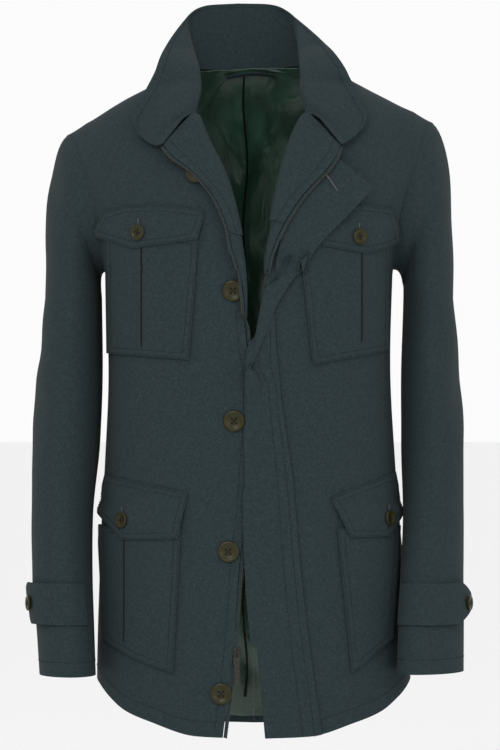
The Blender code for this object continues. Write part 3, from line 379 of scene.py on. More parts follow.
# Placket: its seam, where it bends back on itself and how far, and its free edge
PLACKET_COLUMNS = ("seam_z", "seam_x", "seam_lift", "bend_x", "bend", "edge_x", "edge_z", "edge_lift")
PLACKET = (
    (-0.8020, 0.0836, 0.0009, 0.0500, 0.0, 0.0180, -0.8090, 0.0010),
    (-0.6784, 0.0662, 0.0009, 0.0360, 0.0, 0.0070, -0.6850, 0.0010),
    (-0.6000, 0.0575, 0.0009, 0.0280, 0.0, 0.0010, -0.6020, 0.0010),
    (-0.5008, 0.0489, 0.0009, 0.0220, 0.0, -0.0035, -0.5020, 0.0012),
    (-0.4101, 0.0361, 0.0009, 0.0160, 0.0, -0.0045, -0.4160, 0.0020),
    (-0.3700, 0.0320, 0.0009, -0.0035, 0.8, 0.0000, -0.3760, 0.0105),
    (-0.3287, 0.0290, 0.0010, 0.0040, 1.0, 0.0150, -0.3390, 0.0115),
    (-0.2900, 0.0275, 0.0012, 0.0105, 1.0, 0.0300, -0.3010, 0.0115),
    (-0.2700, 0.0260, 0.0020, 0.0150, 1.0, 0.0400, -0.2830, 0.0115),
    (-0.2500, 0.0290, 0.0080, 0.0300, 0.0, 0.0556, -0.2600, 0.0115),
    (-0.2150, 0.0380, 0.0090, 0.0420, 0.0, 0.0777, -0.2300, 0.0125),
    (-0.1650, 0.0680, 0.0105, 0.0780, 0.0, 0.1172, -0.1870, 0.0130),
    (-0.1270, 0.0960, 0.0110, 0.1080, 0.0, 0.1383, -0.1631, 0.0130),
)
PLACKET_BEND = 0.0045

# Collar, from centre back to the front end: middle and top edge of the stand, for the left side.
# Its seam follows the neckline; past the roll it lies on the turned-back front, at its lift.
COLLAR_COLUMNS = ("along", "mid_x", "mid_y", "mid_z", "top_x", "top_y", "top_z")
COLLAR = (
    (0.00, 0.000, 0.0690, 0.036, 0.000, 0.0720, 0.0720),
    (0.15, 0.037, 0.0590, 0.034, 0.034, 0.0640, 0.0700),
    (0.32, 0.063, 0.0360, 0.028, 0.060, 0.0410, 0.0560),
    (0.46, 0.063, -0.0040, 0.018, 0.084, 0.0080, 0.0300),
    (0.60, 0.063, -0.0340, -0.004, 0.103, -0.0240, 0.0020),
    (0.74, 0.064, -0.0640, -0.038, 0.119, -0.0560, -0.0320),
    (0.86, 0.088, -0.0950, -0.072, 0.131, -0.0870, -0.0600),
    (0.93, 0.110, -0.1050, -0.090, 0.137, -0.0980, -0.0790),
    (1.00, 0.117, -0.1180, -0.108, 0.132, -0.1080, -0.0940),
)
COLLAR_NECK = 0.42          # share of its length where the collar passes the shoulder seam
COLLAR_ROLL = 0.82          # and where its seam crosses the roll
COLLAR_LIFT = 0.0165
BACK_NECK_LEVEL = 1.76

# Sleeves: centre, half width, half depth and turn of the section at each height
SLEEVE_COLUMNS = ("z", "x", "y", "half_width", "half_depth", "turn")
RIGHT_SLEEVE = (
    (-0.290, -0.2116, 0.004, 0.0340, 0.073, 0.0),
    (-0.387, -0.2165, 0.002, 0.0380, 0.068, 0.0),
    (-0.459, -0.2212, -0.007, 0.0400, 0.063, 0.0),
    (-0.547, -0.2236, -0.029, 0.0364, 0.059, 3.0),
    (-0.626, -0.2215, -0.050, 0.0363, 0.057, 5.0),
    (-0.674, -0.2180, -0.062, 0.0350, 0.056, 6.0),
    (-0.734, -0.2145, -0.075, 0.0335, 0.055, 7.0),
)
LEFT_SLEEVE = (
    (-0.290, 0.2135, 0.004, 0.0320, 0.073, 0.0),
    (-0.387, 0.2170, 0.002, 0.0360, 0.068, 0.0),
    (-0.459, 0.2195, -0.007, 0.0368, 0.063, 0.0),
    (-0.547, 0.2195, -0.032, 0.0345, 0.059, 10.0),
    (-0.626, 0.2165, -0.060, 0.0338, 0.057, 20.0),
    (-0.674, 0.2145, -0.076, 0.0335, 0.056, 26.0),
    (-0.730, 0.2120, -0.092, 0.0335, 0.055, 32.0),
)
SLEEVE_RING = 90
CAP_ROWS = 20
UNDER_SLEEVE = 0.28         # share of the ring that the under sleeve takes

# Pockets in front elevation: corners of patch and flap, and the button
CHEST_RIGHT = {
    "patch": ((-0.0595, -0.222), (-0.0705, -0.363), (-0.1670, -0.355), (-0.1690, -0.213)),
    "flap": ((-0.0515, -0.190), (-0.0600, -0.2235), (-0.1330, -0.2325), (-0.1815, -0.215), (-0.1730, -0.190),
             (-0.1450, -0.183), (-0.1000, -0.183)),
    "hinge_z": -0.196,
    "button": (-0.1275, -0.214),
}
CHEST_LEFT = {
    "patch": ((0.0560, -0.222), (0.0725, -0.369), (0.1640, -0.351), (0.1685, -0.213)),
    "flap": ((0.0600, -0.184), (0.0740, -0.229), (0.1290, -0.238), (0.1530, -0.233), (0.1790, -0.224),
             (0.1720, -0.185), (0.1370, -0.182)),
    "hinge_z": -0.196,
    "button": (0.1240, -0.219),
}
HIP_RIGHT = {
    "patch": ((-0.0795, -0.560), (-0.0880, -0.728), (-0.1385, -0.711), (-0.1735, -0.694), (-0.1790, -0.560)),
    "flap": ((-0.0710, -0.5185), (-0.0825, -0.572), (-0.1475, -0.5745), (-0.1810, -0.541), (-0.1700, -0.500)),
    "hinge_z": -0.530,
    "button": (-0.1460, -0.552),
}
HIP_LEFT = {
    "patch": ((0.1020, -0.560), (0.1170, -0.729), (0.1660, -0.691), (0.1740, -0.560)),
    "flap": ((0.0940, -0.524), (0.1160, -0.571), (0.1580, -0.571), (0.1795, -0.541), (0.1700, -0.496)),
    "hinge_z": -0.532,
    "button": (0.1570, -0.550),
}
FRONT_BUTTONS = ((-0.0197, -0.2830), (-0.0186, -0.4345), (-0.0250, -0.5867), (-0.0335, -0.7512))
TOP_BUTTON = (-0.0660, -0.1455)
TAB_TOP_Z = -0.626
TAB_BOTTOM_Z = -0.674


COLUMNS = {}


def column(table, names, name):
    """One named column of a table, kept for the next call."""
    key = (id(table), name)
    if key not in COLUMNS:
        index = names.index(name)
        COLUMNS[key] = [row[index] for row in table]
    return COLUMNS[key]


def smooth(keys, values, key):
    """Monotone cubic through a table's column, so that no bump appears between its rows."""
    if keys[0] > keys[-1]:
        keys = keys[::-1]
        values = values[::-1]
    if key <= keys[0]:
        return values[0]
    if key >= keys[-1]:
        return values[-1]
    spans = [b - a for a, b in zip(keys, keys[1:])]
    slopes = [(b - a) / h for a, b, h in zip(values, values[1:], spans)]
    tangents = [slopes[0]]
    for a, b in zip(slopes, slopes[1:]):
        tangents.append(2 * a * b / (a + b) if a * b > 0 else 0.0)
    tangents.append(slopes[-1])
    i = max(n for n in range(len(spans)) if keys[n] <= key)
    h = spans[i]
    t = (key - keys[i]) / h
    return ((1 + 2 * t) * (1 - t) ** 2 * values[i] + t * (1 - t) ** 2 * h * tangents[i]
            + t * t * (3 - 2 * t) * values[i + 1] + t * t * (t - 1) * h * tangents[i + 1])


def read(table, names, key, name):
    """A table's column at a value of its first column."""
    return smooth(column(table, names, names[0]), column(table, names, name), key)


def ridge_z(x):
    """Height of the shoulder line."""
    return RIDGE_Z - RIDGE_SLOPE * math.hypot(x, RIDGE_ROUND)


def torso_point(turn, level, side, face):
    """Point of the torso: turn 0 at the centre to 1 at the side, level 0 hem, 1 armpit, 2 shoulder.

    side is -1 for the wearer's right and 1 for the left, face is "front" or "back".
    """
    front = face == "front"
    outward = -1 if front else 1
    swing = min(max(turn, -0.4), 1.0) * math.pi / 2
    share = math.copysign(abs(math.sin(swing)) ** (2 / SQUARENESS), swing)
    bow = abs(math.cos(swing)) ** (2 / SQUARENESS)
    if level <= 1:
        hem = read(HEM, HEM_COLUMNS, abs(share), face)
        z = hem + (ARMPIT_Z - hem) * level
        half_width = read(TORSO, TORSO_COLUMNS, z, "half_width")
        x = side * share * half_width + read(TORSO, TORSO_COLUMNS, z, "shift")
        return Vector((x, outward * bow * read(TORSO, TORSO_COLUMNS, z, face), z))
    angle = (level - 1) * 90
    rise = math.sin(math.radians(angle)) ** (2 / YOKE_SQUARENESS)
    fall = abs(math.cos(math.radians(angle))) ** (2 / YOKE_SQUARENESS)
    x = side * share * read(YOKE, YOKE_COLUMNS, angle, "half_width")
    z = ARMPIT_Z + (ridge_z(x) - ARMPIT_Z) * rise
    depth = TORSO[-1][TORSO_COLUMNS.index(face)]
    return Vector((x, RIDGE_Y * (1 - fall) + outward * bow * depth * fall, z + LEAN * x * rise))


def normal_of(surface, u, v):
    """Unit normal of a surface of two parameters, by differences."""
    step = 0.002
    across = surface(u + step, v) - surface(u - step, v)
    up = surface(u, v + step) - surface(u, v - step)
    return across.cross(up).normalized()


def torso_pair(turn, level, side, face):
    """Torso point with its outward normal; both halves agree at their seams."""
    inner_turn = min(turn, 0.996)
    inner_level = min(max(level, 0.004), 1.994)
    normal = normal_of(lambda a, b: torso_point(a, b, side, face), inner_turn, inner_level)
    place = torso_point(turn, level, side, face)
    if normal.dot(Vector((place.x, place.y, max(0.0, place.z - ARMPIT_Z)))) < 0:
        normal.negate()
    if turn > 0.97 or level > 1.97:
        normal.y = 0
        normal.normalize()
    return place, normal


def find_level(x, z, side, face="front"):
    """Turn and level of the torso point seen at x, z from the front."""
    turn = 0.3
    level = 1.0
    for _ in range(60):
        point = torso_point(turn, level, side, face)
        level += (z - point.z) * (1.9 if level < 1 else 4.0)
        level = min(max(level, 0.0), 1.999)
        turn += (x - point.x) * side * 3.2
        turn = min(max(turn, -0.4), 0.999)
    return turn, level


def over_torso(x, z, side, lift):
    """Point held off the chest by a lift, and the chest's normal there."""
    turn, level = find_level(x, z, side)
    point, normal = torso_pair(turn, level, side, "front")
    return point + normal * lift, normal


def edge_rows(side):
    """The front's levels, with the turn of the inner boundary and the row of the edge table at each."""
    table = RIGHT_EDGE if side < 0 else LEFT_EDGE
    rows = []
    for row in table:
        turn, level = find_level(row[0], row[1], side)
        rows.append((level, turn) + row)
    return rows


EDGE_ROWS = {side: edge_rows(side) for side in (-1, 1)}
EDGE_ROW_COLUMNS = ("level", "inner") + EDGE_COLUMNS


def finer(steps, parts):
    """The same steps with each span shared out."""
    made = [a + (b - a) * n / parts for a, b in zip(steps, steps[1:]) for n in range(parts)]
    return made + [steps[-1]]


def front_levels(side):
    """Rows of the front from hem to shoulder."""
    top = EDGE_ROWS[side][-1][0]
    lower = [0.0, 0.08, 0.20, 0.33, 0.46, 0.58, 0.70, 0.79, 0.86, 0.93, 0.97, 1.0]
    upper = [1.06, 1.13, 1.21, 1.3, 1.4]
    steps = [top + (2.0 - top) * n / 3 for n in range(4)]
    return finer(lower + upper + steps, 4)


def inner_turn(level, side):
    """Where the front begins at a level: its edge, the roll or the neckline."""
    rows = EDGE_ROWS[side]
    top = rows[-1][0]
    if level <= top:
        return smooth([r[0] for r in rows], [r[1] for r in rows], level)
    share = (level - top) / (2.0 - top)
    return rows[-1][1] * (1 - share) + neck_turn() * share


def outer_turn(level, face):
    """Where a panel ends: the side seam, and above it the armhole."""
    if level <= 1:
        return 1.0
    share = read(YOKE, YOKE_COLUMNS, (level - 1) * 90, face + "_hole")
    return math.asin(min(share, 1.0) ** (SQUARENESS / 2)) / (math.pi / 2)


def seam_back(pair, level, face, at_side):
    """Holds a panel's boundary back from the seam beside it."""
    point, normal = pair
    outward = -1 if face == "front" else 1
    if at_side and level <= 1.0 or level >= 2.0:
        point = point + Vector((0, outward * SEAM, 0))
    return point, normal


def panel_grid(side, face, levels, begin, columns):
    """Rows of (point, normal) from the inner boundary to the side or armhole."""
    grid = []
    for level in levels:
        first = begin(level)
        last = outer_turn(level, face)
        row = []
        for j in range(columns + 1):
            turn = first + (last - first) * j / columns
            row.append(seam_back(torso_pair(turn, level, side, face), level, face, j == columns))
        grid.append(row)
    return grid


def lapel_row(side, level, roll):
    """The turned-back part of one row: round the roll, then out to the zip line."""
    rows = EDGE_ROWS[side]
    keys = [r[0] for r in rows]
    value = {name: smooth(keys, [r[i] for r in rows], level) for i, name in enumerate(EDGE_ROW_COLUMNS)}
    start, normal = roll
    end, end_normal = over_torso(value["zip_x"], value["zip_z"], side, value["lift"])
    turn = math.radians(value["turn"])
    flat = end - start
    length = flat.length
    if length < 0.0012 or turn < 0.05:
        return [(start, normal)] * (ARC_STEPS + LAPEL_STEPS + 1)
    inward = Vector((-side, 0, 0))
    inward = (inward - normal * inward.dot(normal)).normalized()
    radius = min(ROLL_RADIUS, length * 0.42)
    row = []
    for n in range(ARC_STEPS + 1):
        angle = turn * n / ARC_STEPS
        point = start + inward * (radius * math.sin(angle)) + normal * (radius * (1 - math.cos(angle)))
        row.append((point, (normal * math.cos(angle) - inward * math.sin(angle)).normalized()))
    leave = row[-1][0]
    heading = (inward * math.cos(turn) + normal * math.sin(turn))
    reach = (end - leave).length
    last_normal = row[-1][1]
    for n in range(1, LAPEL_STEPS + 1):
        t = n / LAPEL_STEPS
        straight = leave.lerp(end, t)
        bow = heading * (0.2 * reach * t * (1 - t) ** 2)
        point = straight + bow
        row.append((point, last_normal.lerp(-end_normal if turn > 2 else last_normal, t).normalized()))
    return row


class Cloth:
    """A piece of cloth as triangles of (point, normal) corners, before it gets its wall."""

    def __init__(self):
        self.triangles = []

    def add(self, grid, flip=False):
        for low, high in zip(grid, grid[1:]):
            for a, b, c, d in zip(low, low[1:], high[1:], high):
                for corners in ((a, b, c), (a, c, d)):
                    area = (corners[1][0] - corners[0][0]).cross(corners[2][0] - corners[0][0]).length
                    if area > 1e-10:
                        self.triangles.append(corners[::-1] if flip else corners)
        return self

    def cut(self, corners):
        """The part of the cloth inside a convex outline of x, z corners, seen from the front."""
        centre_x = sum(c[0] for c in corners) / len(corners)
        centre_z = sum(c[1] for c in corners) / len(corners)
        lines = []
        for (ax, az), (bx, bz) in zip(corners, corners[1:] + corners[:1]):
            nx, nz = bz - az, ax - bx
            if nx * (centre_x - ax) + nz * (centre_z - az) < 0:
                nx, nz = -nx, -nz
            lines.append((nx, nz, nx * ax + nz * az))
        piece = Cloth()
        for triangle in self.triangles:
            polygon = list(triangle)
            for nx, nz, limit in lines:
                polygon = clip(polygon, nx, nz, limit)
                if len(polygon) < 3:
                    break
            for b, c in zip(polygon[1:], polygon[2:]):
                piece.triangles.append((polygon[0], b, c))
        return piece

    def split(self, z):
        """Adds an edge right across the cloth at one height."""
        piece = Cloth()
        for triangle in self.triangles:
            for sign in (1, -1):
                polygon = clip(list(triangle), 0, sign, sign * z)
                for b, c in zip(polygon[1:], polygon[2:]):
                    piece.triangles.append((polygon[0], b, c))
        return piece


def clip(polygon, nx, nz, limit):
    """Keeps the part of a polygon of (point, normal) corners on one side of a line."""
    kept = []
    for a, b in zip(polygon, polygon[1:] + polygon[:1]):
        inside_a = nx * a[0].x + nz * a[0].z - limit
        inside_b = nx * b[0].x + nz * b[0].z - limit
        if inside_a >= 0:
            kept.append(a)
        if inside_a * inside_b < 0:
            t = inside_a / (inside_a - inside_b)
            kept.append((a[0].lerp(b[0], t), a[1].lerp(b[1], t)))
    return kept


def bell(value, centre, width):
    """Smooth bump of height 1."""
    return math.exp(-((value - centre) / width) ** 2)


def crease(point):
    """Shallow folds of the hanging cloth; the same for every piece that lies at a point."""
    x, y, z = point
    below = min(max((0.02 - z) / 0.12, 0.0), 1.0)
    soft = noise.noise(Vector((x * 7.0, y * 5.0 + CREASE_SEED, z * 4.0))) * 0.0024
    ring = noise.noise(Vector((x * 16.0 + z * 9.0, y * 16.0, z * 13.0 - abs(x) * 12.0))) * 0.0060
    elbow = bell(z, -0.40, 0.09) + 0.7 * bell(z, -0.20, 0.07) + 0.35 * bell(z, -0.60, 0.06)
    drape = noise.noise(Vector((x * 17.0, y * 9.0, z * 2.6 + CREASE_SEED))) * 0.0050
    fold = math.sin((x + 0.25 * z) * 62.0) * 0.0010 * bell(z, -0.62, 0.16)
    arm = min(max((abs(x) - 0.200) / 0.02, 0.0), 1.0)
    seam = min(abs(abs(x) - 0.196) / 0.02 + max(0.0, (-0.27 - z) / 0.02), 1.0)
    return (soft + (drape * below + fold) * (1 - arm) + ring * min(elbow, 1.2) * arm) * seam


def lining_fold(point):
    """Loose wrinkles of the lining round its centre-back pleat."""
    x, z = point.x, point.z
    wave = noise.noise(Vector((x * 26.0, 3.0, z * 12.0))) * 0.0060
    sway = 0.0025 * math.sin(z * 40.0) + 0.0015 * math.sin(z * 93.0) - 0.004
    pleat = -0.0075 * bell(x, sway - 0.004, 0.0060) + 0.0012 * bell(x, sway + 0.006, 0.0035)
    return -abs(wave) + pleat * min(max((0.0 - z) / 0.05, 0.0), 1.0)


def link(name, mesh, finish, word="cloth"):
    """Shown object for the node of that name."""
    obj = bpy.data.objects.new(word + "_" + name, mesh)
    obj.data.materials.append(finish)
    bpy.context.scene.collection.objects.link(obj)
    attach(obj, "jacket")
    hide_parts(name)
    SHOWN[name] = obj
    return obj


def wall(name, cloth, low, high, finish):
    """Closed wall from one offset of the cloth to another; offsets are lengths or functions of a point."""
    bm = bmesh.new()
    layers = ({}, {})
    folds = {}

    def vertex(corner, layer):
        point, normal = corner
        key = tuple(round(c * 1e6) for c in point)
        if key not in layers[layer]:
            offset = (low, high)[layer]
            if callable(offset):
                offset = offset(point)
            if key not in folds:
                folds[key] = crease(point) + (lining_fold(point) if name == "lining_back" else 0.0)
            layers[layer][key] = bm.verts.new(point + normal * (offset + folds[key]))
        return layers[layer][key]

    edges = {}
    for triangle in cloth.triangles:
        outer = [vertex(c, 1) for c in triangle]
        inner = [vertex(c, 0) for c in triangle]
        if len(set(outer)) < 3:
            continue
        bm.faces.new(outer)
        bm.faces.new(inner[::-1])
        for k in range(3):
            pair = (outer[k], outer[(k + 1) % 3])
            edges[pair] = (inner[k], inner[(k + 1) % 3])
    for (a, b), (c, d) in edges.items():
        if (b, a) not in edges:
            bm.faces.new((b, a, c))
            bm.faces.new((b, c, d))
    bmesh.ops.recalc_face_normals(bm, faces=bm.faces)
    for face in bm.faces:
        face.smooth = True
    for edge in bm.edges:
        if edge.calc_face_angle(0.0) > SHARP_ANGLE:
            edge.smooth = False
    mesh = bpy.data.meshes.new("cloth_" + name)
    bm.to_mesh(mesh)
    bm.free()
    obj = link(name, mesh, finish)
    return obj


def button_profile(diameter, thickness):
    """Turned outline of a button: a sunk middle, a rounded rim."""
    r = diameter / 2
    return ((0.0, 0.58), (0.40, 0.58), (0.60, 0.66), (0.70, 0.94), (0.80, 1.0), (0.92, 0.96), (0.99, 0.74),
            (1.0, 0.50), (0.94, 0.16), (0.84, 0.0), (0.0, 0.0)), r, thickness


def place_button(name, place, normal, diameter, stand, finish):
    """Button with four sewing holes shown as dark discs of painted shade, and its thread, facing along the
    cloth's normal.
    """
    profile, r, thickness = button_profile(diameter, 0.0032)
    bm = bmesh.new()
    around = 48
    rings = []
    for share, height in profile:
        if share == 0.0:
            rings.append([bm.verts.new((0, 0, height * thickness))] * around)
            continue
        rings.append([bm.verts.new((share * r * math.cos(2 * math.pi * n / around),
                                    share * r * math.sin(2 * math.pi * n / around), height * thickness))
                      for n in range(around)])
    for ring, after in zip(rings, rings[1:]):
        for n in range(around):
            corners = [ring[n], ring[(n + 1) % around], after[(n + 1) % around], after[n]]
            corners = list(dict.fromkeys(corners))
            bm.faces.new(corners)
    bmesh.ops.recalc_face_normals(bm, faces=bm.faces)
    for face in bm.faces:
        face.smooth = True
    mesh = bpy.data.meshes.new("button_" + name)
    bm.to_mesh(mesh)
    bm.free()
    face_turn = Vector((0, 0, 1)).rotation_difference(normal).to_matrix().to_4x4()
    lift = crease(place)
    shift = Matrix.Translation(place + normal * (stand + lift)) @ face_turn
    mesh.transform(shift)
    obj = link(name, mesh, finish, "button")
    spread = diameter * 0.105
    top = thickness * 0.585
    holes = [Vector((a * spread, b * spread, 0)) for a in (-1, 1) for b in (-1, 1)]
    # The holes are not cut: a dark disc in each is painted shade.
    dark = bmesh.new()
    for hole in holes:
        bmesh.ops.create_cone(dark, cap_ends=True, segments=16, radius1=diameter * 0.055,
                              radius2=diameter * 0.055, depth=0.0004,
                              matrix=Matrix.Translation(hole + Vector((0, 0, top))))
    add_extra("holes_" + name, dark, shift, PAINTED_SHADE)
    thread = bmesh.new()
    for a, b in ((0, 3), (1, 2)):
        line = [holes[a] + Vector((0, 0, top)), Vector((0, 0, top + 0.0007)), holes[b] + Vector((0, 0, top))]
        tube(thread, line, 0.0004)
    add_extra("thread_" + name, thread, shift, THREAD_FINISH)


def add_extra(name, bm, matrix, finish):
    """A small added piece without a node of its own."""
    mesh = bpy.data.meshes.new(name)
    bmesh.ops.recalc_face_normals(bm, faces=bm.faces)
    bm.to_mesh(mesh)
    bm.free()
    if matrix:
        mesh.transform(matrix)
    mesh.materials.append(finish)
    obj = bpy.data.objects.new(name, mesh)
    bpy.context.scene.collection.objects.link(obj)
    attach(obj, "jacket")
    return obj


def tube(bm, line, radius, sides=6):
    """Closed tube along a line of points."""
    rings = []
    for n, point in enumerate(line):
        ahead = (line[min(n + 1, len(line) - 1)] - line[max(n - 1, 0)]).normalized()
        across = ahead.orthogonal().normalized()
        up = ahead.cross(across)
        rings.append([bm.verts.new(point + (across * math.cos(2 * math.pi * k / sides)
                                            + up * math.sin(2 * math.pi * k / sides)) * radius)
                      for k in range(sides)])
    for ring, after in zip(rings, rings[1:]):
        for k in range(sides):
            bm.faces.new((ring[k], ring[(k + 1) % sides], after[(k + 1) % sides], after[k]))
    bm.faces.new(rings[0][::-1])
    bm.faces.new(rings[-1])


def build_fronts(cloth_finish):
    """Fronts with their turned-back parts and the facings inside them."""
    fronts = {}
    for side, name in ((-1, "right"), (1, "left")):
        levels = front_levels(side)
        body = panel_grid(side, "front", levels, lambda v: inner_turn(v, side), FRONT_COLUMNS)
        top = EDGE_ROWS[side][-1][0]
        lapel = [lapel_row(side, v, row[0]) for v, row in zip(levels, body) if v <= top + 1e-6]
        flip = side > 0
        cloth = Cloth().add(body, flip)
        turned = Cloth().add(lapel, not flip)
        fronts[side] = (levels, body, lapel)
        whole = Cloth()
        whole.triangles = cloth.triangles + turned.triangles
        wall("front_" + name, whole, -CLOTH, 0.0, cloth_finish)
        facing = Cloth().add([row[:11] for row in body[:len(lapel)]], flip)
        wide = [row for row in lapel if (row[-1][0] - row[0][0]).length > FACING_START]
        facing.triangles += Cloth().add(wide, not flip).triangles
        wall("facing_" + name, facing, -2 * CLOTH - GAP, -CLOTH - GAP, cloth_finish)
        fronts[side] += (cloth,)
    return fronts


def edge_run(fronts, side):
    """Along the zip line, from hem to collar: edge point, normal, and direction beyond the edge."""
    levels, body, lapel = fronts[side][:3]
    run = []
    for row, turned in zip(body, lapel):
        point, normal = turned[-1]
        before = turned[-2][0] if (turned[-1][0] - turned[-2][0]).length > 1e-4 else row[1][0]
        beyond = (point - before).normalized()
        beyond = (beyond - normal * beyond.dot(normal)).normalized()
        run.append((point, normal, beyond))
    return run


def placket_point(row, across):
    """Point of the placket: row is the seam's height, across 0 seam, 1 free edge."""
    value = {name: read(PLACKET, PLACKET_COLUMNS, row, name) for name in PLACKET_COLUMNS[1:]}
    bend = value["bend"]
    start = (value["seam_x"], row, value["seam_lift"])
    end = (value["edge_x"], value["edge_z"], value["edge_lift"])
    path = [start]
    for share, dx, lift in ((0.40, 2, 0.0), (0.55, 1, 0.0), (0.62, 0.0, 1.0), (0.70, 1, 2.0)):
        flat = [a + (b - a) * share for a, b in zip(start, end)]
        bent = (value["bend_x"] + dx * PLACKET_BEND, flat[1], value["seam_lift"] + lift * PLACKET_BEND)
        path.append(tuple(a + (b - a) * bend for a, b in zip(flat, bent)))
    path.append(tuple((a + b) / 2 for a, b in zip(path[-1], end)))
    path.append(end)
    marks = list(range(len(path)))
    x, z, lift = (smooth(marks, [p[n] for p in path], across * marks[-1]) for n in range(3))
    return over_torso(x, z, 1, lift)[0]


def build_placket(finish):
    """Fly placket of the left front, seamed beside the zip; above the break it is turned back on itself."""
    columns = 24
    heights = []
    rows = column(PLACKET, PLACKET_COLUMNS, "seam_z")
    for low, high in zip(rows, rows[1:]):
        parts = max(1, round((high - low) / 0.007))
        heights += [low + (high - low) * n / parts for n in range(parts)]
    heights.append(rows[-1])
    grid = [[placket_point(z, k / columns) for k in range(columns + 1)] for z in heights]
    pairs = []
    for i, row in enumerate(grid):
        line = []
        for k, point in enumerate(row):
            up = grid[min(i + 1, len(grid) - 1)][k] - grid[max(i - 1, 0)][k]
            across = row[min(k + 1, columns)] - row[max(k - 1, 0)]
            line.append((point, up.cross(across).normalized()))
        pairs.append(line)
    wall("placket", Cloth().add(pairs), 0.0, 1.5 * CLOTH, finish)


def build_tapes(fronts, finish):
    """Zip tape along each front's edge, as a flat strip; the left tape is two strips, split at TAPE_BREAK_Z."""
    for side, name in ((-1, "right"), (1, "left")):
        grid = []
        for point, normal, beyond in edge_run(fronts, side):
            centre = point - normal * (CLOTH + GAP / 2)
            grid.append([(centre + beyond * (3 * GAP), normal), (centre + beyond * ZIP_REACH, normal)])
        lower = [row for row in grid if row[0][0].z < TAPE_BREAK_Z]
        upper = [row for row in grid if row[0][0].z > TAPE_BREAK_Z]
        if side < 0:
            upper = grid
        else:
            wall("zip_tape_left_low", Cloth().add(lower), -ZIP_WALL / 2, ZIP_WALL / 2, finish)
        wall("zip_tape_" + name, Cloth().add(upper), -ZIP_WALL / 2, ZIP_WALL / 2, finish)


def neck_turn():
    """Turn of the point where neckline and shoulder seam meet."""
    half = read(YOKE, YOKE_COLUMNS, 90.0, "half_width")
    return math.asin((NECK_POINT[0] / half) ** (SQUARENESS / 2)) / (math.pi / 2)


def back_neck_turn(level):
    """Where the back begins at a level: the centre, then the back neckline."""
    open_from = max(0.0, (level - BACK_NECK_LEVEL) / (2.0 - BACK_NECK_LEVEL))
    return neck_turn() * math.sqrt(open_from)


def build_backs(cloth_finish, lining_finish):
    """Two back panels that meet at the centre-back seam, and the lining inside them."""
    levels = [0.0, 0.08, 0.22, 0.36, 0.50, 0.64, 0.78, 0.90, 1.0]
    levels += [1.06, 1.14, 1.26, 1.42, 1.60, BACK_NECK_LEVEL, 1.84, 1.92, 2.0]
    levels = finer(levels, 5)
    backs = {}
    for side, name in ((-1, "right"), (1, "left")):
        rows = []
        for level in levels:
            first = back_neck_turn(level)
            last = outer_turn(level, "back")
            row = []
            for j in range(BACK_COLUMNS + 1):
                pair = torso_pair(first + (last - first) * j / BACK_COLUMNS, level, side, "back")
                point, normal = seam_back(pair, level, "back", j == BACK_COLUMNS)
                if j == 0 and first == 0.0:
                    point.x += side * SEAM
                    normal = Vector((0, normal.y, normal.z)).normalized()
                row.append((point, normal))
            rows.append(row)
        backs[side] = rows
        cloth = Cloth().add(rows, side < 0)
        wall("back_" + name, cloth, -CLOTH, 0.0, cloth_finish)
    inside = Cloth()
    for side, rows in backs.items():
        inside.add([row[:-1] for row in rows[1:]], side < 0)
    centre = [[right[0], left[0]] for right, left in zip(backs[-1][1:], backs[1][1:])]
    inside.add([pair for pair in centre if abs(pair[1][0].x) < 0.001])
    wall("lining_back", inside, -CLOTH - GAP - LINING, -CLOTH - GAP, lining_finish)
    return backs


def neckline_point(along, side):
    """Where the collar is sewn on: back neckline, front neckline, then along the turned-back front."""
    if along <= COLLAR_NECK:
        level = BACK_NECK_LEVEL + (2.0 - BACK_NECK_LEVEL) * (along / COLLAR_NECK) ** 2
        point, normal = torso_pair(back_neck_turn(level), level, side, "back")
        return point + Vector((0, 0, -0.0025))
    top = EDGE_ROWS[side][-1][0]
    if along <= COLLAR_ROLL:
        share = (along - COLLAR_NECK) / (COLLAR_ROLL - COLLAR_NECK)
        level = 2.0 - (2.0 - top) * share
        point, normal = torso_pair(inner_turn(level, side), level, side, "front")
        return point + Vector((-side * 0.0010, 0, 0.0012 + 0.0035 * share ** 3))
    edge = EDGE_ROWS[side][-1]
    share = (along - COLLAR_ROLL) / (1 - COLLAR_ROLL)
    x = edge[2] + (edge[4] - edge[2]) * share
    z = edge[3] + (edge[5] - edge[3]) * share
    lift = COLLAR_LIFT * min(1.0, share * 4)
    return over_torso(x, z, side, lift)[0] + Vector((side * 0.0032, 0, 0.0047 - 0.0016 * share))


def collar_point(along, across, side):
    """Point of the collar: along 0 centre back to 1 front end, across 0 seam to 1 top edge."""
    value = [smooth(column(COLLAR, COLLAR_COLUMNS, "along"), column(COLLAR, COLLAR_COLUMNS, name), along)
             for name in COLLAR_COLUMNS[1:]]
    middle, top = Vector(value[:3]), Vector(value[3:])
    for point in (middle, top):
        point.x *= side
        point.z += LEAN * point.x * 0.5
        point.x -= COLLAR_LEAN * max(0.0, point.z + 0.02)
    seam = neckline_point(along, side)
    control = middle * 2 - (seam + top) / 2
    point = seam * (1 - across) ** 2 + control * (2 * across * (1 - across)) + top * across ** 2
    settle = min(max((along - 0.55) / 0.2, 0.0), 1.0) * min(across * 2.5, 1.0)
    if settle > 0:
        rest = over_torso(point.x, min(point.z, -0.035), side, COLLAR_LIFT)[0]
        point.y = min(point.y, point.y + (rest.y - point.y) * settle)
    return point


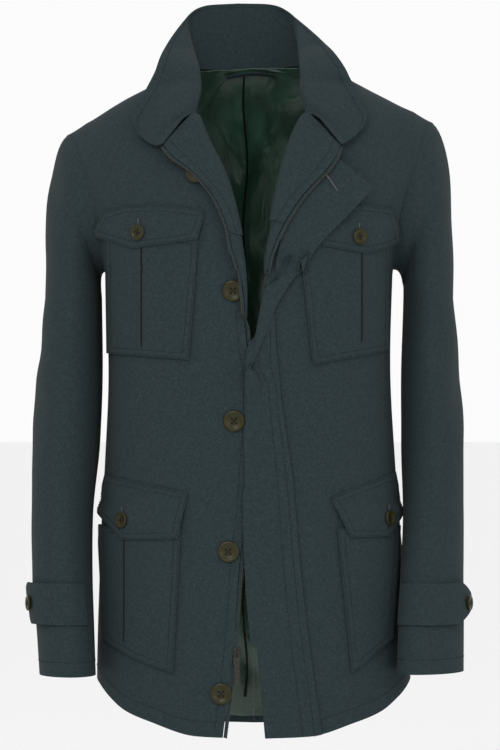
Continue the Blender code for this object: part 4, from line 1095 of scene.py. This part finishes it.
def build_collar(finish):
    """Stand collar in one piece, from one front end round the back to the other."""
    stations = 55
    steps = 14
    grid = []
    for n in range(-stations, stations + 1):
        side = -1 if n < 0 else 1
        along = abs(n) / stations
        row = []
        for k in range(steps + 1):
            across = k / steps
            u = min(max(along, 0.004), 0.996)
            v = min(max(across, 0.004), 0.996)
            normal = normal_of(lambda a, b: collar_point(a, b, side), u, v) * side
            if n == 0:
                normal.x = 0
                normal.normalize()
            row.append((collar_point(along, across, side), normal))
        grid.append(row)
    wall("collar", Cloth().add(grid, True), -1.3 * CLOTH, 0.0, finish)


def sleeve_ring(side, z, share):
    """Point of a sleeve's hanging part; share runs 0 at the outside, 0.25 front, 0.5 inside, 0.75 back."""
    table = RIGHT_SLEEVE if side < 0 else LEFT_SLEEVE
    value = {name: read(table, SLEEVE_COLUMNS, z, name) for name in SLEEVE_COLUMNS[1:]}
    swing = share * 2 * math.pi
    out = value["half_width"] * math.cos(swing)
    forward = value["half_depth"] * math.sin(swing)
    turn = math.radians(value["turn"])
    dx = out * math.cos(turn) - forward * math.sin(turn)
    dy = out * math.sin(turn) + forward * math.cos(turn)
    return Vector((value["x"] + side * dx, value["y"] - dy, z))


def armhole(side, share):
    """Point of the armhole's edge for the same share, with the way the sleeve leaves it."""
    face = "front" if share <= 0.5 else "back"
    from_tip = share * 2 if share <= 0.5 else (1 - share) * 2
    level = 2 - from_tip
    bottom = max(0.0, (from_tip - 0.7) / 0.3)
    turn = outer_turn(level, face)
    point, normal = torso_pair(turn, level, side, face)
    leave = Vector((side, 0, -0.55 + 0.35 * from_tip + 0.6 * bottom ** 2)).normalized()
    return point - leave * 0.004, leave


def sleeve_point(side, share, row):
    """Row 0 to 1 runs over the sleeve head, 1 and on down the hanging part."""
    table = RIGHT_SLEEVE if side < 0 else LEFT_SLEEVE
    top_z = table[0][0]
    share = share % 1.0
    if row >= 1:
        z = top_z + (table[-1][0] - top_z) * (row - 1)
        return sleeve_ring(side, z, share)
    start, leave = armhole(side, share)
    end = sleeve_ring(side, top_z, share)
    gap = (end - start).length
    pull = leave * min(gap, 0.10) * 1.0
    fall = Vector((0, 0, -1)) * gap * 1.2
    t = row
    return (start * ((1 + 2 * t) * (1 - t) ** 2) + pull * (t * (1 - t) ** 2)
            + end * (t * t * (3 - 2 * t)) + fall * (t * t * (t - 1)))


def sleeve_grid(side, first, last):
    """Rows of (point, normal) down the sleeve, between two shares of its ring."""
    table = RIGHT_SLEEVE if side < 0 else LEFT_SLEEVE
    top_z, end_z = table[0][0], table[-1][0]
    rows = [n / CAP_ROWS for n in range(CAP_ROWS)]
    heights = (top_z, -0.35, -0.41, -0.47, -0.53, -0.58, TAB_TOP_Z, TAB_BOTTOM_Z, end_z)
    heights = finer(sorted(set(heights), reverse=True), 5)
    rows += [1 + (z - top_z) / (end_z - top_z) for z in heights]
    steps = max(4, round((last - first) * SLEEVE_RING))
    grid = []
    for row in rows:
        line = []
        for j in range(steps + 1):
            share = first + (last - first) * j / steps
            normal = normal_of(lambda a, b: sleeve_point(side, a, b), share, max(row, 0.003)) * side
            line.append((sleeve_point(side, share, row), normal))
        grid.append(line)
    return rows, grid


def build_sleeves(finish):
    """Top sleeve and under sleeve on each side, and the tab round each cuff."""
    for side, name in ((-1, "right"), (1, "left")):
        hair = 4.5 * SEAM / 0.35
        half = UNDER_SLEEVE / 2
        rows, top = sleeve_grid(side, -0.5 + half + hair, 0.5 - half - hair)
        wall("top_sleeve_" + name, Cloth().add(top, side > 0), -CLOTH, 0.0, finish)
        under = sleeve_grid(side, 0.5 - half + hair, 0.5 + half - hair)[1]
        wall("under_sleeve_" + name, Cloth().add(under, side > 0), -CLOTH, 0.0, finish)
        build_tab(side, name, rows, top, finish)


def build_cuff_buttons(finish):
    """Button near the free end of each cuff tab."""
    for side, name, share in ((-1, "right", 0.045), (1, "left", -0.02)):
        z = (TAB_TOP_Z + TAB_BOTTOM_Z) / 2
        place = sleeve_ring(side, z, share)
        across = sleeve_ring(side, z, share + 0.01) - sleeve_ring(side, z, share - 0.01)
        normal = across.cross(Vector((0, 0, 1))).normalized()
        if normal.x * side < 0:
            normal.negate()
        away = 1 - (share + 0.11) / 0.47
        stand = GAP + 0.0075 * away ** 2 + 1.5 * CLOTH + CUFF_BUTTON_STAND
        place_button("cuff_button_" + name, place, normal, CUFF_BUTTON, stand, finish)


def build_tab(side, name, rows, top, finish):
    """Cuff tab: a strap laid on the top sleeve's own points, its pointed end standing off outside."""
    table = RIGHT_SLEEVE if side < 0 else LEFT_SLEEVE
    heights = [table[0][0] + (table[-1][0] - table[0][0]) * (r - 1) for r in rows]
    band = [line for z, line in zip(heights, top) if TAB_BOTTOM_Z - 1e-6 <= z <= TAB_TOP_Z + 1e-6]
    count = len(top[0])
    first = count // 2 - 10
    strap = [line[first:] for line in band]
    length = len(strap[0]) - 1
    middle = (TAB_TOP_Z + TAB_BOTTOM_Z) / 2
    grid = []
    for line in strap:
        row = []
        for j, (point, normal) in enumerate(line):
            away = 1 - j / length
            pinch = min(1.0, 0.15 + j / 14)
            place = Vector((point.x, point.y, middle + (point.z - middle) * pinch))
            row.append((place + normal * (GAP + 0.0075 * away ** 2), normal))
        grid.append(row)
    wall("cuff_tab_" + name, Cloth().add(grid, side > 0), 0.0, 1.5 * CLOTH, finish)


def build_pockets(fronts, cloth_finish, button_finish):
    """Patch pockets, the flaps over them, and their buttons, all on the fronts' own facets."""
    pockets = (("chest", -1, "right", CHEST_RIGHT), ("chest", 1, "left", CHEST_LEFT),
               ("hip", -1, "right", HIP_RIGHT), ("hip", 1, "left", HIP_LEFT))
    for kind, side, name, shape in pockets:
        body = fronts[side][3]
        patch = body.cut(shape["patch"])
        wall(f"{kind}_pocket_{name}", patch, GAP, 2.2 * CLOTH, cloth_finish)
        hinge = shape["hinge_z"]
        flap = body.cut(shape["flap"]).split(hinge).split(hinge - 0.012)
        rise = 2.2 * CLOTH + 2 * GAP

        def low(point, hinge=hinge, rise=rise):
            return GAP + (rise - GAP) * min(max((hinge - point.z) / 0.012, 0.0), 1.0)

        def high(point, hinge=hinge, rise=rise):
            return low(point, hinge, rise) + 1.3 * CLOTH

        wall(f"{kind}_flap_{name}", flap, low, high, cloth_finish)
        turn, level = find_level(shape["button"][0], shape["button"][1], side)
        point, normal = torso_pair(turn, level, side, "front")
        stand = rise + 1.3 * CLOTH + GAP
        place_button(f"{kind}_button_{name}", point, normal, POCKET_BUTTON, stand, button_finish)


def build_front_buttons(fronts, finish):
    """Buttons of the fly down the right front; the top one faces the chest under the turned-back part."""
    levels, body, lapel = fronts[-1][:3]
    for n, (x, z) in enumerate(FRONT_BUTTONS):
        turn, level = find_level(x, z, -1)
        point, normal = torso_pair(turn, level, -1, "front")
        place_button(f"front_button_{n + 2}", point, normal, FRONT_BUTTON, 0.0006, finish)
    row = min(lapel, key=lambda line: abs(line[-1][0].z - TOP_BUTTON[1]))
    place = row[-1][0].lerp(row[-2][0], 0.9)
    place_button("front_button_1", place, row[-1][1], FRONT_BUTTON, 0.0030, finish)


# Hanger loop; the zip sliders and their pull tabs, low on the right front's tape, are copied from their solids
# further down
def build_loop(finish):
    """Hanger loop: a short band across the back neck, below the collar seam."""
    grid = []
    for level in (BACK_NECK_LEVEL - 0.035, BACK_NECK_LEVEL - 0.012):
        width = 0.050 if level < BACK_NECK_LEVEL - 0.02 else 0.058
        row = []
        for n in range(-9, 10):
            side = -1 if n < 0 else 1
            row.append(torso_pair(width * abs(n) / 9, level, side, "back"))
        grid.append(row)
    inner = -CLOTH - LINING - LOOP_STAND
    wall("hanger_loop", Cloth().add(grid), inner - CLOTH, inner, finish)



FRONTS = build_fronts(TWILL_CLOTH)
build_placket(TWILL_CLOTH)
build_tapes(FRONTS, TWILL_CLOTH)
build_backs(TWILL_CLOTH, SATIN)
build_collar(TWILL_CLOTH)
build_sleeves(TWILL_CLOTH)
build_pockets(FRONTS, TWILL_CLOTH, HORN)
build_front_buttons(FRONTS, HORN)
build_cuff_buttons(HORN)
build_loop(TWILL_CLOTH)


# Stitches, teeth, buttonholes and painted shade down the pleats
# ---------------------------------------------------
def row_tree():
    """Geometry Nodes: one small bead at every pitch along a line, turned with it."""
    tree = bpy.data.node_groups.new("bead_row", "GeometryNodeTree")
    tree.interface.new_socket("Line", in_out="INPUT", socket_type="NodeSocketGeometry")
    given_kinds = (("Pitch", "NodeSocketFloat"), ("Size", "NodeSocketVector"), ("Finish", "NodeSocketMaterial"))
    for label, kind in given_kinds:
        tree.interface.new_socket(label, in_out="INPUT", socket_type=kind)
    tree.interface.new_socket("Beads", in_out="OUTPUT", socket_type="NodeSocketGeometry")
    nodes, links = tree.nodes, tree.links
    given, result = nodes.new("NodeGroupInput"), nodes.new("NodeGroupOutput")
    curve = nodes.new("GeometryNodeMeshToCurve")
    links.new(given.outputs["Line"], curve.inputs["Mesh"])
    points = nodes.new("GeometryNodeCurveToPoints")
    points.mode = "LENGTH"
    links.new(curve.outputs["Curve"], points.inputs["Curve"])
    links.new(given.outputs["Pitch"], points.inputs["Length"])
    along = nodes.new("FunctionNodeAlignRotationToVector")
    along.axis = "X"
    links.new(points.outputs["Tangent"], along.inputs["Vector"])
    stand = nodes.new("GeometryNodeInputNamedAttribute")
    stand.data_type = "FLOAT_VECTOR"
    stand.inputs["Name"].default_value = "stand"
    upright = nodes.new("FunctionNodeAlignRotationToVector")
    upright.axis = "Z"
    upright.pivot_axis = "X"
    links.new(along.outputs["Rotation"], upright.inputs["Rotation"])
    links.new(stand.outputs["Attribute"], upright.inputs["Vector"])
    bead = nodes.new("GeometryNodeMeshIcoSphere")
    bead.inputs["Radius"].default_value = 0.5
    bead.inputs["Subdivisions"].default_value = 1
    place = nodes.new("GeometryNodeInstanceOnPoints")
    links.new(points.outputs["Points"], place.inputs["Points"])
    links.new(bead.outputs["Mesh"], place.inputs["Instance"])
    links.new(upright.outputs["Rotation"], place.inputs["Rotation"])
    links.new(given.outputs["Size"], place.inputs["Scale"])
    real = nodes.new("GeometryNodeRealizeInstances")
    links.new(place.outputs["Instances"], real.inputs["Geometry"])
    paint = nodes.new("GeometryNodeSetMaterial")
    links.new(real.outputs["Geometry"], paint.inputs["Geometry"])
    links.new(given.outputs["Finish"], paint.inputs["Material"])
    links.new(paint.outputs["Geometry"], result.inputs["Beads"])
    return tree


ROW_TREE = row_tree()


def bead_row(name, lines, pitch, size, finish):
    """Beads along lines of (point, normal); one plain mesh."""
    mesh = bpy.data.meshes.new("line_" + name)
    verts, edges, stands = [], [], []
    for line in lines:
        for n, (point, normal) in enumerate(line):
            if n:
                edges.append((len(verts) - 1, len(verts)))
            verts.append(point)
            stands.append(normal)
    mesh.from_pydata(verts, edges, [])
    layer = mesh.attributes.new("stand", "FLOAT_VECTOR", "POINT")
    for n, normal in enumerate(stands):
        layer.data[n].vector = normal
    source = bpy.data.objects.new("line_" + name, mesh)
    bpy.context.scene.collection.objects.link(source)
    beads = source.modifiers.new("beads", "NODES")
    beads.node_group = ROW_TREE
    values = {"Pitch": pitch, "Size": size, "Finish": finish}
    for item in ROW_TREE.interface.items_tree:
        if item.item_type == "SOCKET" and item.in_out == "INPUT" and item.name in values:
            beads[item.identifier] = values[item.name]
    source.update_tag()
    seen = source.evaluated_get(bpy.context.evaluated_depsgraph_get())
    made = bpy.data.meshes.new_from_object(seen)
    made.name = name
    bpy.data.objects.remove(source)
    for polygon in made.polygons:
        polygon.use_smooth = True
    obj = bpy.data.objects.new(name, made)
    bpy.context.scene.collection.objects.link(obj)
    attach(obj, "jacket")
    return obj


def lifted(point, normal, lift):
    """Stitch position on the creased cloth."""
    return point + normal * (lift + crease(point)), normal


def chest_line(corners, side, lift, step=0.008):
    """Line over the chest through x, z corners."""
    line = []
    for (ax, az), (bx, bz) in zip(corners, corners[1:]):
        parts = max(1, round(math.hypot(bx - ax, bz - az) / step))
        for n in range(parts + (1 if (bx, bz) == tuple(corners[-1]) else 0)):
            x = ax + (bx - ax) * n / parts
            z = az + (bz - az) * n / parts
            turn, level = find_level(x, z, side)
            point, normal = torso_pair(turn, level, side, "front")
            line.append(lifted(point, normal, lift(z) if callable(lift) else lift))
    return line


def inset(corners, amount):
    """Convex outline moved inwards."""
    cx = sum(c[0] for c in corners) / len(corners)
    cz = sum(c[1] for c in corners) / len(corners)
    lines = []
    for (ax, az), (bx, bz) in zip(corners, corners[1:] + corners[:1]):
        length = math.hypot(bx - ax, bz - az)
        nx, nz = (bz - az) / length, (ax - bx) / length
        if nx * (cx - ax) + nz * (cz - az) < 0:
            nx, nz = -nx, -nz
        lines.append((nx, nz, nx * ax + nz * az + amount))
    moved = []
    for (a, b, c), (d, e, f) in zip(lines[-1:] + lines[:-1], lines):
        det = a * e - b * d
        moved.append(((c * e - b * f) / det, (a * f - c * d) / det))
    return moved


def walk(row, distance):
    """The (point, normal) at a distance along a row."""
    for (a, na), (b, nb) in zip(row, row[1:]):
        step = (b - a).length
        if step > 1e-7 and distance <= step:
            return a.lerp(b, distance / step), na.lerp(nb, distance / step).normalized()
        distance -= step
    return row[-1]


STITCHES = []
PLEAT_SHADE_LINES = []
HOLES = []
for kind, side, shape in (("chest", -1, CHEST_RIGHT), ("chest", 1, CHEST_LEFT), ("hip", -1, HIP_RIGHT),
                          ("hip", 1, HIP_LEFT)):
    patch_lift = 2.2 * CLOTH + STITCH_RADIUS
    rise = 2.2 * CLOTH + 2 * GAP
    hinge = shape["hinge_z"]

    def flap_lift(z, hinge=hinge, rise=rise):
        return GAP + (rise - GAP) * min(max((hinge - z) / 0.012, 0.0), 1.0) + 1.3 * CLOTH + STITCH_RADIUS

    for amount in (ROW_INSET, ROW_INSET + ROW_SPACING):
        loop = inset(list(shape["patch"]), amount)
        STITCHES.append(chest_line(loop + loop[:1], side, patch_lift))
        loop = inset(list(shape["flap"]), amount)
        STITCHES.append(chest_line(loop + loop[:1], side, flap_lift))
    x, z = shape["button"]
    HOLES.append(chest_line([(x, z + 0.0150), (x, z + 0.0090)], side, flap_lift(z), 0.002))
# Pleats of the pockets: a dark tube of painted shade runs down each of these lines.
PLEAT_LINES = ((-1, -0.125, -0.231, -0.348), (1, 0.128, -0.237, -0.341), (-1, -0.146, -0.575, -0.694))
for side, x, top, foot in PLEAT_LINES:
    PLEAT_SHADE_LINES.append(chest_line([(x, top), (x, foot)], side, 2.2 * CLOTH))

for side in (-1, 1):
    levels, body, lapel = FRONTS[side][:3]
    line, turned_line = [], []
    for n, (row, turned) in enumerate(zip(body, lapel)):
        width = sum((b[0] - a[0]).length for a, b in zip(turned, turned[1:]))
        if width > 0.018:
            point, normal = walk(turned[::-1], 0.010)
            turned_line.append(lifted(point, normal, -2 * CLOTH - GAP - STITCH_RADIUS))
        elif side < 0 and n:
            line.append(lifted(*walk(row, 0.010), STITCH_RADIUS))
    STITCHES += [line, turned_line]
    for face in ("front", "back"):
        first = inner_turn(0.033, side) if face == "front" else 0.0
        row = [torso_pair(first + (1 - first) * n / 60, 0.033, side, face) for n in range(61)]
        STITCHES.append([lifted(point, normal, STITCH_RADIUS) for point, normal in row])
    table = RIGHT_SLEEVE if side < 0 else LEFT_SLEEVE
    cuff = 1 + (table[-1][0] + 0.017 - table[0][0]) / (table[-1][0] - table[0][0])
    ring = []
    for n in range(73):
        normal = normal_of(lambda a, b: sleeve_point(side, a, b), n / 72, cuff) * side
        ring.append(lifted(sleeve_point(side, n / 72, cuff), normal, STITCH_RADIUS))
    STITCHES.append(ring)


def placket_pair(z, across):
    """Placket point with its normal turned to the front."""
    point = placket_point(z, across)
    normal = (placket_point(z, across + 0.01) - point).cross(placket_point(z + 0.002, across) - point)
    normal.normalize()
    return point, (-normal if normal.dot(FRONT) < 0 else normal)


def placket_sight(x, z):
    """Placket point seen at x, z from the front, the nearest of a fine grid."""
    tries = [(-0.128 - 0.004 * n, k / 60) for n in range(16) for k in range(3, 60)]

    def miss(spot):
        point = placket_point(*spot)
        return math.hypot(point.x - x, point.z - z)

    return placket_pair(*min(tries, key=miss))


eye = placket_sight(0.0875, -0.149)
foot = placket_sight(0.1003, -0.1664)
HOLES.append([lifted(point, normal, 1.5 * CLOTH + STITCH_RADIUS) for point, normal in (eye, foot)])
for across in (0.05, 0.13):
    line = []
    for n in range(101):
        z = -0.3287 - (0.8013 - 0.3287) * n / 100
        point, normal = placket_pair(z, across)
        line.append(lifted(point, normal, 1.5 * CLOTH + STITCH_RADIUS))
    STITCHES.append(line)

for across, offset in ((0.93, STITCH_RADIUS), (0.93, -1.3 * CLOTH - STITCH_RADIUS)):
    line = []
    for n in range(-100, 101):
        side = -1 if n < 0 else 1
        along = min(abs(n) / 100, 0.985)
        normal = normal_of(lambda a, b: collar_point(a, b, side), max(along, 0.004), across) * side
        line.append(lifted(collar_point(along, across, side), normal, offset))
    STITCHES.append(line)

for n, line in enumerate(STITCHES):
    if len(line) > 1:
        bead_row(f"stitches_{n + 1:02d}", [line], STITCH_PITCH,
                 (STITCH_LENGTH, STITCH_RADIUS * 2.4, STITCH_RADIUS * 2), THREAD_FINISH)
bead_row("buttonholes", HOLES, 0.0007, (0.0008, 0.0026, 0.0006), MAUVE_FINISH)
# Dark tube down each pleat: painted shade in its fold.
for n, line in enumerate(PLEAT_SHADE_LINES):
    bm = bmesh.new()
    tube(bm, [point for point, normal in line], 0.0011)
    add_extra(f"pleat_{n + 1}", bm, None, PAINTED_SHADE)
# Dark tube down the lining's centre-back pleat: painted shade in its fold.
line = []
for n in range(80):
    level = 0.06 + (BACK_NECK_LEVEL - 0.09) * n / 79
    point, normal = torso_pair(0.0, level, 1, "back")
    spot = Vector((0.0025 * math.sin(point.z * 40.0) - 0.006, point.y, point.z))
    line.append(spot - normal * (CLOTH + GAP + LINING - crease(spot) - lining_fold(spot)))
bm = bmesh.new()
tube(bm, line, 0.0012)
add_extra("lining_pleat_shade", bm, None, PAINTED_SHADE)
for side, name in ((-1, "right"), (1, "left")):
    line = []
    for point, normal, beyond in edge_run(FRONTS, side):
        centre = point - normal * (CLOTH + GAP / 2) + beyond * (ZIP_REACH - 0.0008)
        line.append(lifted(centre, normal, 0.0))
    bead_row("zip_teeth_" + name, [line], TOOTH_PITCH, TOOTH_SIZE, TEETH)


def copy_node(name, body, finish):
    """A hard piece keeps its solid's shape and gets the finish."""
    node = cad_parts[name]
    mesh = node.data.copy()
    mesh.transform(node.matrix_world)
    mesh.materials.clear()
    mesh.materials.append(finish)
    obj = bpy.data.objects.new("metal_" + name, mesh)
    bpy.context.scene.collection.objects.link(obj)
    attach(obj, body)
    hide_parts(name)


copy_node("zip_slider_upper", "jacket", PULL_METAL)
copy_node("zip_slider_lower", "jacket", PULL_METAL)
copy_node("zip_pull_upper", "pull_upper", PULL_METAL)
copy_node("zip_pull_lower", "pull_lower", PULL_METAL)


# Camera, floor and light -----------------------------------------------------------------------------
low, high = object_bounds()

camera = bpy.data.objects.new("camera", bpy.data.cameras.new("camera"))
camera.data.lens = CAMERA_LENS
camera.data.sensor_width = SENSOR
camera.data.clip_end = 50.0
camera.location = (0, -CAMERA_DISTANCE, CAMERA_HEIGHT)
camera.rotation_euler = (math.radians(90), 0, 0)
bpy.context.scene.collection.objects.link(camera)
bpy.context.scene.camera = camera

floor_material, floor_tree, floor_shader = new_material("pale_floor")
floor_shader.inputs["Base Color"].default_value = (0.9, 0.9, 0.9, 1)
floor_shader.inputs["Roughness"].default_value = 0.9
floor_mesh = bpy.data.meshes.new("floor")
floor_mesh.from_pydata([(-40, -40, 0), (40, -40, 0), (40, 40, 0), (-40, 40, 0)], [], [(0, 1, 2, 3)])
floor_mesh.materials.append(floor_material)
floor = bpy.data.objects.new("floor", floor_mesh)
floor.location.z = low[2] - 0.35
bpy.context.scene.collection.objects.link(floor)

world = bpy.data.worlds.new("studio")
world.use_nodes = True
world.node_tree.nodes["Background"].inputs["Color"].default_value = (1.0, 1.0, 1.0, 1)
world.node_tree.nodes["Background"].inputs["Strength"].default_value = 0.97
bpy.context.scene.world = world
LAMPS = (("key", (-0.9, -3.4, 1.3), 1.2, 44.0), ("fill", (1.5, -3.0, 0.2), 1.5, 16.0))
for name, place, size, power in LAMPS:
    lamp = bpy.data.objects.new(name, bpy.data.lights.new(name, "AREA"))
    lamp.data.size = size
    lamp.data.energy = power
    lamp.location = place
    aim = Vector((0, 0, -0.38)) - lamp.location
    lamp.rotation_euler = aim.to_track_quat("-Z", "Y").to_euler()
    bpy.context.scene.collection.objects.link(lamp)
bpy.context.scene.view_settings.view_transform = "Standard"
